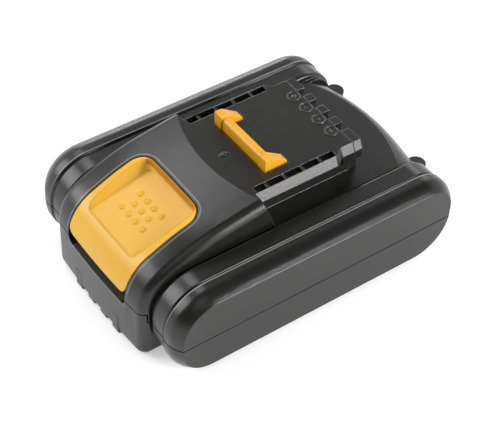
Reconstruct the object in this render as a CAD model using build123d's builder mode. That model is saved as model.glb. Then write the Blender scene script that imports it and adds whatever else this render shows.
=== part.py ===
from build123d import *
import math
import os

os.makedirs("parts", exist_ok=True)

# Lengths are in millimetres and angles in degrees.
# The pack stands on z = 0 and is the same on both sides of x = 0.
# The release button faces -y; the end that enters the tool first faces +y.

# Reach of the cutting blocks, and a quarter turn
far = 80.0
right_angle = 90.0

# Wing outline, seen from the side
half_width = 38.0
wing_front = -49.6
wing_rear = 51.0
wing_bottom = 1.0
wing_top = 30.4
front_top_radius = 13.6
rear_top_radius = 11.6
rear_bottom_radius = 14.6
front_bottom_radius = 12.4

# Wing steps, from the middle outwards
body_half = 23.6
crown_share = 1 / 3
crest_outer = half_width - (half_width - body_half) * crown_share
crest_width = 2.6
cap_inner = crest_outer - crest_width
strip_gap = 0.6
strip_inner = body_half + strip_gap
core_overlap = 0.6
core_inner = body_half - core_overlap
cap_steps = 4
cap_curve = 1.9
face_drop = 2.25
strip_inset = 0.4
core_inset = 1.0
core_drop = 0.8
strip_edge = 0.5
cap_edge = 0.6
strip_round = 1.0

# Levels and walls
deck_z = 28.6
plate_z = 40.0
parting_z = 14.9
nose_parting_z = 18.1
nose_parting_y = -49.8
wall = 2.2
bay_inset = 2.15
side_wall = 2.6
bay_half = half_width - side_wall
bay_top = 26.4
pocket_inner = body_half + wall
step_gap = 0.16
bay_rear_bevel = 8.0
bay_rear_cut_y = 41.0
cradle_x = 10.0
cradle_width = 1.6
cradle_top = 8.5

# Side tongue that closes the seam
tongue_width = 1.0
tongue_height = 1.5
tongue_half_length = 34.0
tongue_clearance = 0.1

# Crowned slope and nose
crown_radius = 300.0
slope_angle = 9.9
slope_start_y = -6.0
plate_edge_y = -15.2
slope_bend_y = -24.4
slope_arc_radius = 64.0
slope_arc_turn = 15.1
slope_run = 4.0
nose_arc_radius = 15.2
skin_depth = 9.0
fill_depth = 4.6
hump_wall = 3.0
ridge_radius = 3.2
nose_foot_radius = 3.0
rib_foot_radius = 1.2
rib_width = 3.1
rib_positions = (-10.15, -3.4, 3.4, 10.15)
rib_setback = 0.1
rib_length = 7.0
rib_height = 7.0
hump_rear_y = -10.6
hump_side_wall = 2.4
nose_cavity_half = body_half - hump_side_wall
hump_rear_top_z = 39.0
hump_rear_foot_y = -6.5
nose_cavity_rear_y = -12.8
nose_cavity_bottom = 6.0

# Rear end of the middle body
rear_wall_y = 50.5
rear_slope_z = 20.3
rear_foot_radius = 12.0
rear_slope_radius = 9.0
rear_sag_low = 1.0
rear_sag_high = 6.0
rear_corner_radius = 4.0
rear_slope_steps = 3
rear_narrowing = 0.3
lug_inset = 3.2
lug_x = body_half - lug_inset
lug_y = 49.4
lug_radius = 3.0
lug_top_z = 22.5
lug_foot_z = 4.0

# Rail and its end block
neck_half = 16.0
rail_half = 20.1
rail_edge = 1.5
rail_edge_drop = 2.8
rail_bottom_z = 36.6
rail_rear_y = 17.8
block_half = 18.0
block_front_y = 21.5
block_bottom_z = 34.2
guide_front_y = 25.7
guide_gap = 0.15
guide_rear_y = 28.6
guide_foot_gap = 0.1
guide_sill_z = 30.4
notch_width = 3.15
notch_positions = (-9.3, -3.1, 3.1, 9.3)
neck_wall = 1.9
box_half = neck_half - neck_wall
slot_inner = neck_half
slot_margin = 1.7
slot_outer = rail_half - slot_margin
slot_front_y = -9.8
slot_rear_y = 18.3
slot_corner = 0.7
bar_width = 0.9
bar_drop = 0.4
bar_thickness = 2.4
bar_positions = (-5.6, 0.7, 7.0, 13.3)
box_front_y = -14.0
box_roof = 2.2
guide_tongue_inner = 13.2
guide_tongue_outer = 14.0
guide_tongue_front = 22.6
guide_tongue_top = 33.4

# Raised marks on the plate
ring_y = 23.4
ring_outer = 2.1
ring_inner = 1.75
mark_height = 0.25
sign_length = 1.6
sign_width = 0.4
dot_radius = 0.45
dial_y = -8.8
dial_outer = 1.7
dial_inner = 1.1
dial_depth = 0.35
dial_slot = 0.5

# Release button and its opening
opening_margin = 8.1
opening_half = body_half - opening_margin
opening_rear_y = -25.5
opening_bottom_z = 15.6
opening_corner = 5.4
opening_foot_corner = 2.6
button_gap = 0.4
button_bottom_z = 20.1
pan_rear_y = -26.7
pan_rear_z = 34.3
pan_front_y = -47.3
pan_angle = 14.7
pan_margin = 4.3
pan_half = opening_half - pan_margin
pan_corner = 1.0
pan_mouth_corner = 3.6
pan_thickness = 2.2
button_wall = 2.0
rear_skirt_z = 28.9
bump_radius = 1.05
bump_height = 0.55
bump_pitch = 3.63
bump_row_pitch = 3.25
bump_first_row_y = -33.5
bump_rows = (4, 3, 4)
skirt_rear_y = -25.9
skirt_mid_y = -41.0
skirt_mid_z = 27.6
skirt_front_y = -47.4
skirt_front_z = 21.6
button_rear_wall = 2.0
button_front_wall = 2.4
button_corner_y = -49.8
button_corner_z = 23.5
button_corner = 5.0
button_foot_corner = 2.4
pan_front_z = 28.9
pan_top_rear_y = -26.5
pan_top_rear_z = 39.2
pan_top_front_y = -48.4
pan_top_front_z = 30.9
rim_width = 1.5
pan_top_half = opening_half - rim_width

# Latch frame with its hook
hook_half = 12.75
prong_width = 3.35
prong_inner = hook_half - prong_width
hook_front_y = -3.2
bar_setback = 0.5
bar_rear_y = -0.3
prong_rear_y = 4.8
hook_top_z = 44.2
bar_top_z = 43.4
prong_tip_z = 40.4
prong_flat_y = -0.9
hook_gap = 0.5
frame_bottom_z = 29.9
frame_thickness = 1.5
frame_window_half = 3.8
frame_window_front = -22.5
frame_window_rear = -7.0
tongue_inner = 6.0
tongue_margin = 5.5
tongue_outer = opening_half - tongue_margin
tongue_reach = 2.6
fit_gap = 0.1
cup_x = 8.0
cup_y = -17.0
cup_outer = 3.7
cup_inner = 3.1
cup_top_z = 35.4
cup_roof = 1.2

# Latch springs
spring_mean_radius = 2.4
spring_wire = 0.5
spring_turns = 7
spring_seat_z = 24.3

# Cells
cell_count = 5
bracket_valleys = 2
cell_pitch = 18.8
cell_z = 13.0
can_radius = 9.1
sleeve_radius = 9.25
cell_margin = 5.5
cell_half_length = half_width - cell_margin
nub_height = 1.5
nub_radius = 3.4
can_round = 0.6
ring_thickness = 0.3
ring_hole = 4.6
ring_edge = 8.6
cell_gap = 0.03

# Cell holders
holder_depth = 12.5
holder_inner = cell_half_length - holder_depth
holder_plate = 0.8
holder_bottom = 5.6
holder_top = 20.0
holder_end = 46.4
holder_plate_bottom = 4.2
holder_plate_top = 22.0
bore_clearance = 0.05
weld_hole = 6.2
post_radius = 2.0
post_inset = 8.5
post_x = cell_half_length - post_inset

# Straps and insulation
strap_thickness = 0.2
strap_half_width = 4.0
strap_reach = 3.4
dimple_radius = 3.0
tab_half = 2.2
tab_top = 22.4
sheet_gap = 0.35
sheet_x = bay_half - sheet_gap
sheet_thickness = 0.3
sheet_half = 45.0
sheet_bottom = 6.0
sheet_top = 24.4
sheet_corner = 6.0

# Circuit board and its parts
board_margin = 4.1
board_half = cell_half_length - board_margin
board_front_y = -6.5
board_rear_y = 40.0
board_bottom_z = 23.4
board_thickness = 1.6
board_corner = 2.0
chip_size = 8.0
chip_height = 1.0
chip_edge = 0.2
chip_x = -17.5
chip_y = 7.0
transistor_x = 7.0
transistor_y = 9.3
transistor_width = 6.4
transistor_length = 5.4
transistor_height = 2.2
transistor_edge = 0.4
shunt_x = 20.0
shunt_y = 24.0
shunt_width = 3.2
shunt_length = 6.4
shunt_height = 0.9

# Latch bracket
bracket_margin = 2.0
bracket_half = board_half - bracket_margin
bracket_front_y = -30.6
bracket_rear_y = -7.0
bracket_bottom_z = 22.9
bracket_leg_inset = 2.4
bracket_leg_x = bracket_half - bracket_leg_inset
leg_radius = 1.8
guide_post_radius = 1.3
guide_post_top = 28.6

# Terminal block and contacts
block_carrier_half = 13.2
carrier_front_y = 13.2
carrier_rear_y = 25.2
carrier_height = 4.0
carrier_fence_height = 9.0
carrier_fence_width = 1.2
fence_positions = (-12.4, -6.2, 0.0, 6.2, 12.4)
contact_base_half = 2.2
contact_base_thickness = 0.6
contact_leaf = 0.5
contact_height = 6.6
contact_front_y = 15.0
contact_pinch_y = 21.6
contact_rear_y = 24.8
contact_wide = 1.8
contact_pinch = 0.55
contact_flare = 1.3

# Leads
lead_radius = 0.8
sense_radius = 0.4
lead_bend = 1.6
pad_inset = 1.4
pad_x = board_half - pad_inset
negative_pad_y = 33.0
positive_pad_y = -4.0
bead_radius = 1.2
bead_length = 3.4
bead_edge = 0.3
bead_lead_radius = 0.35
bead_lead_x = 0.7
sense_pad_y = -2.8

# Screws
front_screw_inset = 4.7
front_screw_x = body_half - front_screw_inset
front_screw_y = -48.9
screw_radius = 1.1
screw_head_radius = 1.8
screw_head_height = 1.3
screw_length = 13.0
screw_clearance = 0.02
head_clearance = 0.2
shank_clearance = 0.15
boss_radius = 2.7
boss_top_z = 26.5
cross_width = 0.5
cross_depth = 0.7
cross_length = 2.2
board_screw_head = 1.9
board_screw_length = 4.0
board_screw_radius = 0.9
board_screw_clearance = 0.15
board_head_height = 1.0
front_seat_z = 9.0
rear_seat_z = 8.0
boss_foot_z = 4.5
boss_trim_front = -47.2
boss_trim_rear = 47.3
rear_boss_radius = 3.0

# Foam strips
foam_spans = ((-32.0, -8.0), (8.0, 32.0))
foam_bottom_z = 4.8
foam_top_z = 8.4

SIDES = (-1, 1)


def side_face(inset):
    """Side outline of a wing, drawn inwards by inset."""
    front = wing_front + inset
    rear = wing_rear - inset
    bottom = wing_bottom + inset
    top = wing_top - inset
    with BuildSketch() as outline:
        with BuildLine():
            Polyline((front, bottom), (rear, bottom), (rear, top), (front, top), close=True)
        make_face()
        corners = outline.vertices()
        fillet(corners.sort_by_distance((front, top))[0], front_top_radius - inset)
        corners = outline.vertices()
        fillet(corners.sort_by_distance((rear, top))[0], rear_top_radius - inset)
        corners = outline.vertices()
        fillet(corners.sort_by_distance((rear, bottom))[0], rear_bottom_radius - inset)
        corners = outline.vertices()
        fillet(corners.sort_by_distance((front, bottom))[0], front_bottom_radius - inset)
    return outline.sketch


def block(x_low, x_high, y_low, y_high, z_low, z_high):
    """Box between two corners, as a private solid."""
    size = (x_high - x_low, y_high - y_low, z_high - z_low)
    low = (Align.MIN, Align.MIN, Align.MIN)
    return Pos(x_low, y_low, z_low) * Solid.make_box(*size)


def lying(x, y, z):
    """Place for a cylinder whose axis runs along x."""
    return Location((x, y, z), (0, right_angle, 0))


def nose_front_y(depth):
    """Most forward y of the slope line pushed inwards by depth."""
    lean = math.radians(slope_angle)
    steep = math.radians(slope_angle + slope_arc_turn)
    bend_reach = (slope_arc_radius - depth) * (math.sin(steep) - math.sin(lean))
    nose_reach = (nose_arc_radius - depth) * (1 - math.sin(steep))
    return slope_bend_y + depth * math.sin(lean) - bend_reach - slope_run * math.cos(steep) - nose_reach


def slope_path(depth):
    """Centre line of the slope and nose, pushed inwards by depth; gives its two ends."""
    lean = math.radians(slope_angle)
    rise = math.tan(lean) * (slope_start_y - plate_edge_y)
    start = (slope_start_y + depth * math.sin(lean), plate_z + rise - depth * math.cos(lean))
    first_run = (slope_start_y - slope_bend_y) / math.cos(lean)
    corner = (start[0] - first_run * math.cos(lean), start[1] - first_run * math.sin(lean))
    foot = (nose_front_y(depth), 0)
    run = Line(start, corner)
    bend = JernArc(run @ 1, run % 1, slope_arc_radius - depth, slope_arc_turn)
    ramp = Line(bend @ 1, (bend @ 1) + (bend % 1) * slope_run)
    nose_turn = right_angle - slope_angle - slope_arc_turn
    nose = JernArc(ramp @ 1, ramp % 1, nose_arc_radius - depth, nose_turn)
    Line(nose @ 1, foot)
    return start, foot


def skin(depth):
    """Crowned band that follows the slope and the nose, depth thick."""
    lean = math.radians(slope_angle)
    with BuildPart() as band:
        with BuildLine(Plane.YZ) as path:
            start, foot = slope_path(0)
        origin = (0, start[0], start[1])
        across = Plane(origin=origin, x_dir=(1, 0, 0), z_dir=(0, -math.cos(lean), -math.sin(lean)))
        drop = crown_radius - math.sqrt(crown_radius**2 - body_half**2)
        with BuildSketch(across) as profile:
            with BuildLine():
                ThreePointArc((-body_half, -drop), (0, 0), (body_half, -drop))
                Line((body_half, -drop), (body_half, -depth))
                Line((body_half, -depth), (-body_half, -depth))
                Line((-body_half, -depth), (-body_half, -drop))
            make_face()
            ridges = profile.vertices().group_by(Axis.Y)[-1]
            fillet(ridges, ridge_radius)
        sweep(path=path.line)
    return band.part


def hump_block(depth, half, rear_y, bottom_z):
    """Solid under the slope line pushed in by depth, from rear_y forwards."""
    with BuildPart() as fill:
        with BuildSketch(Plane.YZ) as outline:
            with BuildLine():
                start, foot = slope_path(depth)
                Polyline(foot, (start[0], 0), start)
            make_face()
        extrude(amount=half, both=True)
        add(block(-half, half, rear_y, far, -wall, far), mode=Mode.SUBTRACT)
        add(block(-half, half, -far, rear_y, -wall, bottom_z), mode=Mode.SUBTRACT)
    return fill.part


def foot_rounding(front, radius, x_low, x_high):
    """What a rounded lower front edge of this radius takes away."""
    with BuildPart() as rounding:
        with BuildSketch(Plane.YZ.offset(x_low)):
            with BuildLine():
                Line((front - radius, -radius), (front + radius, -radius))
                Line((front + radius, -radius), (front + radius, 0))
                RadiusArc((front + radius, 0), (front, radius), radius)
                Line((front, radius), (front - radius, radius))
                Line((front - radius, radius), (front - radius, -radius))
            make_face()
        extrude(amount=x_high - x_low)
    return rounding.part


def hump():
    """Crowned slope and nose, with its rounded foot and the ribs there."""
    front = nose_front_y(0)
    with BuildPart() as nose:
        add(skin(skin_depth))
        add(hump_block(fill_depth, body_half, slope_start_y, 0))
        with BuildSketch(Plane.YZ):
            with BuildLine():
                Polyline((hump_rear_foot_y, -wall), (hump_rear_foot_y, deck_z),
                         (hump_rear_y, hump_rear_top_z), (hump_rear_y, far), (far, far), (far, -wall),
                         close=True)
            make_face()
        extrude(amount=half_width, both=True, mode=Mode.SUBTRACT)
        add(block(-far, far, -far, far, plate_z, far), mode=Mode.SUBTRACT)
        foot_edges = nose.edges().group_by(Axis.Z)[0].sort_by(Axis.Y)[:-1]
        fillet(foot_edges, nose_foot_radius)
        for x in rib_positions:
            low = x - rib_width / 2
            high = x + rib_width / 2
            with BuildPart(mode=Mode.PRIVATE) as rib:
                add(block(low, high, front + rib_setback, front + rib_length, 0, rib_height))
                add(foot_rounding(front + rib_setback, rib_foot_radius, low, high), mode=Mode.SUBTRACT)
            add(rib.part)
    return nose.part


def rear_outline(height, inset, sag):
    """Plan outline of the rear of the middle body at one height."""
    half = body_half - rear_narrowing * inset / rear_slope_radius
    apex = rear_wall_y - inset
    shoulder = apex - sag
    with BuildSketch(Plane.XY.offset(height)) as outline:
        with BuildLine():
            ThreePointArc((-half, shoulder), (0, apex), (half, shoulder))
            Polyline((half, shoulder), (half, 0), (-half, 0), (-half, shoulder))
        make_face()
        corners = outline.vertices().group_by(Axis.Y)[-1]
        fillet(corners, rear_corner_radius)
    return outline.sketch


def wing():
    """Outer cap and inner strip of the wing on the +x side."""
    with BuildPart() as cap:
        with BuildSketch(Plane.YZ.offset(cap_inner)):
            add(side_face(0))
        extrude(amount=crest_outer - cap_inner)
        chamfer(cap.edges().group_by(Axis.X)[0], cap_edge)
        for step in range(cap_steps + 1):
            share = step / cap_steps
            with BuildSketch(Plane.YZ.offset(crest_outer + (half_width - crest_outer) * share)):
                add(side_face(face_drop * share**cap_curve))
        loft()
    with BuildPart() as strip:
        with BuildSketch(Plane.YZ.offset(strip_inner)):
            add(side_face(strip_inset))
        extrude(amount=cap_inner - strip_inner)
        chamfer(strip.edges().group_by(Axis.X)[-1], strip_edge)
        fillet(strip.edges().group_by(Axis.X)[0], strip_round)
    with BuildPart() as core:
        with BuildSketch(Plane.YZ.offset(core_inner)):
            add(side_face(strip_inset + core_inset))
        extrude(amount=cap_inner - core_inner)
        add(block(core_inner, cap_inner, -far, far, deck_z - core_drop, far), mode=Mode.SUBTRACT)
    with BuildPart() as whole:
        add(core.part)
        add(strip.part)
        add(cap.part)
    return whole.part


def plan_prism(half, rear_y, corner, low, high):
    """Upright prism open towards the nose, with two rounded rear corners."""
    with BuildPart() as prism:
        with BuildSketch(Plane.XY.offset(low)) as outline:
            with BuildLine():
                Polyline((-half, -far), (half, -far), (half, rear_y), (-half, rear_y), close=True)
            make_face()
            fillet(outline.vertices().group_by(Axis.Y)[-1], corner)
        extrude(amount=high - low)
    return prism.part


def front_prism(half, bottom, corner):
    """Prism along y, open towards the top, with two rounded lower corners."""
    with BuildPart() as prism:
        with BuildSketch(Plane.XZ) as outline:
            with BuildLine():
                Polyline((-half, bottom), (half, bottom), (half, far), (-half, far), close=True)
            make_face()
            fillet(outline.vertices().group_by(Axis.Y)[0], corner)
        extrude(amount=far, both=True)
    return prism.part


def rail_section(low, front_y, rear_y):
    """End block of the rail with sloped upper edges, from low up to the plate."""
    with BuildPart() as section:
        with BuildSketch(Plane.XZ.offset(-front_y)):
            with BuildLine():
                edge_z = plate_z - rail_edge_drop
                top = block_half - rail_edge
                Polyline((neck_half, low), (neck_half, block_bottom_z), (block_half, block_bottom_z),
                         (block_half, edge_z), (top, plate_z), (-top, plate_z), (-block_half, edge_z),
                         (-block_half, block_bottom_z), (-neck_half, block_bottom_z), (-neck_half, low),
                         close=True)
            make_face()
        extrude(amount=front_y - rear_y)
    return section.part


def flange_outline(height, inset):
    """Plan outline of the rail flanges, narrowing to the end block."""
    wide = rail_half - inset
    narrow = block_half - inset
    with BuildSketch(Plane.XY.offset(height)) as outline:
        with BuildLine():
            for side in SIDES:
                start = (side * wide, rail_rear_y)
                end = (side * narrow, block_front_y)
                Line((side * wide, box_front_y), start)
                Spline(start, end, tangents=((0, 1), (0, 1)), tangent_scalars=(1, 1))
                Line(end, (side * narrow, guide_rear_y))
            Line((-wide, box_front_y), (wide, box_front_y))
            Line((-narrow, guide_rear_y), (narrow, guide_rear_y))
        make_face()
    return outline.sketch


def rail():
    """Neck, flanges and end block that slide into the tool."""
    with BuildPart() as slide:
        add(flange_outline(rail_bottom_z, 0))
        extrude(amount=plate_z - rail_edge_drop - rail_bottom_z)
        add(flange_outline(plate_z - rail_edge_drop, 0))
        add(flange_outline(plate_z, rail_edge))
        loft()
        add(block(-neck_half, neck_half, box_front_y, guide_front_y, bay_top, plate_z))
        add(rail_section(deck_z, block_front_y, guide_front_y))
        add(block(-far, far, guide_front_y, far, 0, far), mode=Mode.SUBTRACT)
        add(block(-far, far, -far, box_front_y + wall, 0, far), mode=Mode.SUBTRACT)
        # Windows in the flanges, crossed by thin bars
        slot_middle = (slot_front_y + slot_rear_y) / 2
        slot_x = (slot_inner + slot_outer) / 2
        with BuildSketch(Plane.XY.offset(rail_bottom_z)):
            with Locations((-slot_x, slot_middle), (slot_x, slot_middle)):
                RectangleRounded(slot_outer - slot_inner, slot_rear_y - slot_front_y, slot_corner)
        extrude(amount=plate_z - rail_bottom_z, mode=Mode.SUBTRACT)
        for y in bar_positions:
            low = plate_z - bar_drop - bar_thickness
            for side in SIDES:
                inner, outer = sorted((side * slot_inner, side * slot_outer))
                add(block(inner, outer, y - bar_width / 2, y + bar_width / 2, low, plate_z - bar_drop))
    return slide.part


def outer_body():
    """Outside shape of both housings together, without cavities."""
    with BuildPart() as body:
        add(hump())
        # Middle body
        front = hump_rear_y - wall
        add(block(-body_half, body_half, front, 0, rear_foot_radius, deck_z))
        with BuildPart(mode=Mode.PRIVATE) as tub:
            with BuildSketch(Plane.YZ) as lower:
                with BuildLine():
                    Polyline((front, 0), (rear_wall_y, 0), (rear_wall_y, rear_slope_z),
                             (front, rear_slope_z), close=True)
                make_face()
                fillet(lower.vertices().sort_by_distance((rear_wall_y, 0))[0], rear_foot_radius)
            extrude(amount=body_half, both=True)
            long_edges = tub.edges().group_by(Axis.Z)[0].filter_by(Axis.Y)
            fillet(long_edges, nose_foot_radius)
        add(tub.part)
        # Rear slope up to the deck
        rise = deck_z - rear_slope_z
        for step in range(rear_slope_steps + 1):
            share = step / rear_slope_steps
            height = rise * share
            inset = rear_slope_radius - math.sqrt(rear_slope_radius**2 - height**2)
            sag = rear_sag_low + (rear_sag_high - rear_sag_low) * share
            add(rear_outline(rear_slope_z + height, inset, sag))
        loft()
        # Wings
        side_wing = wing()
        add(side_wing)
        add(mirror(side_wing, about=Plane.YZ, mode=Mode.PRIVATE))
        add(rail())
        # Screw lugs on the rear wall
        with BuildSketch(Plane.XY.offset(lug_foot_z)):
            with Locations((-lug_x, lug_y), (lug_x, lug_y)):
                Circle(lug_radius)
        extrude(amount=lug_top_z - lug_foot_z)
    return body.part


def bay():
    """Space for the cells and the board, open up into the wings."""
    with BuildPart() as space:
        with BuildSketch(Plane.YZ):
            add(side_face(bay_inset))
        extrude(amount=bay_half, both=True)
        add(block(-pocket_inner, pocket_inner, -far, far, bay_top, far), mode=Mode.SUBTRACT)
        add(block(-far, far, -far, far, deck_z - core_drop, far), mode=Mode.SUBTRACT)
        # Bevel that keeps the wall under the rear slope
        with BuildSketch(Plane.YZ):
            with BuildLine():
                Polyline((bay_rear_cut_y, bay_top), (bay_rear_cut_y + bay_rear_bevel, bay_top),
                         (bay_rear_cut_y + bay_rear_bevel, bay_top - bay_rear_bevel), close=True)
            make_face()
        extrude(amount=pocket_inner, both=True, mode=Mode.SUBTRACT)
    return space.part


def hook_window(gap):
    """Plan outline of the latch hook, widened by gap."""
    with BuildSketch() as outline:
        low = (Align.MIN, Align.MIN)
        with Locations((-hook_half - gap, hook_front_y - gap)):
            Rectangle(2 * (hook_half + gap), bar_rear_y - hook_front_y + 2 * gap, align=low)
        slot_width = prong_width + 2 * gap
        for inner in (-hook_half - gap, prong_inner - gap):
            with Locations((inner, hook_front_y - gap)):
                Rectangle(slot_width, prong_rear_y - hook_front_y + 2 * gap, align=low)
    return outline.sketch


def screw_places():
    """x, y and seat height of the four housing screws."""
    places = []
    for side in SIDES:
        places.append((side * front_screw_x, front_screw_y, front_seat_z))
        places.append((side * lug_x, lug_y, rear_seat_z))
    return places


def hollow_body():
    """Both housings together with every cavity, opening and boss."""
    with BuildPart() as body:
        add(outer_body())
        add(bay(), mode=Mode.SUBTRACT)
        add(hump_block(hump_wall, nose_cavity_half, nose_cavity_rear_y, nose_cavity_bottom),
            mode=Mode.SUBTRACT)
        add(block(-box_half, box_half, box_front_y, guide_front_y, bay_top - wall, plate_z - box_roof),
            mode=Mode.SUBTRACT)
        # Opening for the release button
        with BuildPart(mode=Mode.PRIVATE) as opening:
            add(plan_prism(opening_half, opening_rear_y, opening_corner, 0, far))
            add(front_prism(opening_half, opening_bottom_z, opening_foot_corner), mode=Mode.INTERSECT)
        add(opening.part, mode=Mode.SUBTRACT)
        # Window for the latch hook
        with BuildSketch(Plane.XY.offset(plate_z - box_roof)):
            add(hook_window(hook_gap))
        extrude(amount=box_roof, mode=Mode.SUBTRACT)
        # Screw bosses
        with BuildPart(mode=Mode.PRIVATE) as bosses:
            with BuildSketch(Plane.XY.offset(boss_foot_z)):
                with Locations((-front_screw_x, front_screw_y), (front_screw_x, front_screw_y)):
                    Circle(boss_radius)
            extrude(amount=boss_top_z - boss_foot_z)
            add(hump_block(hump_wall / 2, body_half, 0, 0), mode=Mode.INTERSECT)
        add(bosses.part)
        with BuildSketch(Plane.XY.offset(boss_foot_z)):
            with Locations((-lug_x, lug_y), (lug_x, lug_y)):
                Circle(rear_boss_radius)
        extrude(amount=lug_top_z - boss_foot_z)
        for side in SIDES:
            inner, outer = sorted((side * opening_half, side * nose_cavity_half))
            add(block(inner, outer, boss_trim_front, boss_trim_front + boss_radius, cell_z - sleeve_radius,
                      cell_z + sleeve_radius), mode=Mode.SUBTRACT)
            low_x, high_x = sorted((side * (lug_x - rear_boss_radius), side * (lug_x + rear_boss_radius)))
            add(block(low_x, high_x, boss_trim_rear - rear_boss_radius, boss_trim_rear,
                      cell_z - cell_gap, cell_z + sleeve_radius), mode=Mode.SUBTRACT)
        # Cradle ribs under the cells
        for side in SIDES:
            with BuildPart(mode=Mode.PRIVATE) as cradle:
                with BuildSketch(Plane.YZ.offset(side * cradle_x - cradle_width / 2)):
                    add(side_face(bay_inset))
                extrude(amount=cradle_width)
                add(block(-far, far, -far, far, cradle_top, far), mode=Mode.SUBTRACT)
            add(cradle.part)
        bore = sleeve_radius + bore_clearance
        for index in range(cell_count):
            y = (index - (cell_count - 1) / 2) * cell_pitch
            with Locations(lying(0, y, cell_z)):
                Cylinder(bore, 2 * cell_half_length, mode=Mode.SUBTRACT)
        # Screw bores
        for x, y, seat in screw_places():
            with Locations((x, y, 0)):
                foot = (Align.CENTER, Align.CENTER, Align.MIN)
                Cylinder(screw_head_radius + head_clearance, seat, align=foot, mode=Mode.SUBTRACT)
                Cylinder(screw_radius + shank_clearance, nose_parting_z, align=foot, mode=Mode.SUBTRACT)
                tip = seat + screw_length + head_clearance
                Cylinder(screw_radius + screw_clearance, tip, align=foot, mode=Mode.SUBTRACT)
    return body.part


def lower_region(gap):
    """Everything below the stepped seam, drawn back by gap."""
    with BuildPart() as region:
        add(block(-far, far, -far, far, -wall, parting_z - gap))
        add(block(-body_half - step_gap, body_half + step_gap, -far, nose_parting_y - gap, 0,
                  nose_parting_z - gap))
    return region.part


def side_tongue(gap):
    """Tongue along both long walls, widened by gap."""
    with BuildPart() as tongue:
        for side in SIDES:
            low, high = sorted((side * (bay_half - gap), side * (bay_half + tongue_width + gap)))
            add(block(low, high, -tongue_half_length - gap, tongue_half_length + gap,
                      parting_z - wall, parting_z + tongue_height + gap))
    return tongue.part


# Housings
whole_body = hollow_body()
with BuildPart() as lower_housing:
    add(whole_body)
    add(lower_region(step_gap), mode=Mode.INTERSECT)
    add(side_tongue(0))
lower_housing.part.label = "lower_housing"

with BuildPart() as upper_housing:
    add(whole_body)
    add(lower_region(-step_gap), mode=Mode.SUBTRACT)
    add(side_tongue(tongue_clearance), mode=Mode.SUBTRACT)
    # Raised marks over the contacts
    for x in notch_positions:
        with BuildSketch(Plane.XY.offset(plate_z)):
            with Locations((x, ring_y)):
                Circle(ring_outer)
                Circle(ring_inner, mode=Mode.SUBTRACT)
        extrude(amount=mark_height)
    with BuildSketch(Plane.XY.offset(plate_z)):
        with Locations((notch_positions[0], ring_y)):
            Rectangle(sign_length, sign_width)
            Rectangle(sign_width, sign_length)
        with Locations((notch_positions[-1], ring_y)):
            Rectangle(sign_length, sign_width)
        with Locations((notch_positions[1], ring_y), (notch_positions[2], ring_y)):
            Circle(dot_radius)
    extrude(amount=mark_height)
    # Moulding dial on the plate
    with BuildSketch(Plane.XY.offset(plate_z)):
        with Locations((0, dial_y)):
            Circle(dial_outer)
            Circle(dial_inner, mode=Mode.SUBTRACT)
            Rectangle(dial_slot, 2 * dial_outer, mode=Mode.SUBTRACT)
    extrude(amount=-dial_depth, mode=Mode.SUBTRACT)
upper_housing.part.label = "upper_housing"

# Guide for the tool's blades at the rear of the rail
with BuildPart() as contact_guide:
    add(rail_section(deck_z + guide_foot_gap, guide_front_y + guide_gap, guide_rear_y))
    for x in notch_positions:
        low = x - notch_width / 2
        add(block(low, low + notch_width, 0, far, guide_sill_z, far), mode=Mode.SUBTRACT)
    for side in SIDES:
        inner, outer = sorted((side * guide_tongue_inner, side * guide_tongue_outer))
        add(block(inner, outer, guide_tongue_front, guide_rear_y, guide_sill_z, guide_tongue_top))
contact_guide.part.label = "contact_guide"

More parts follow.
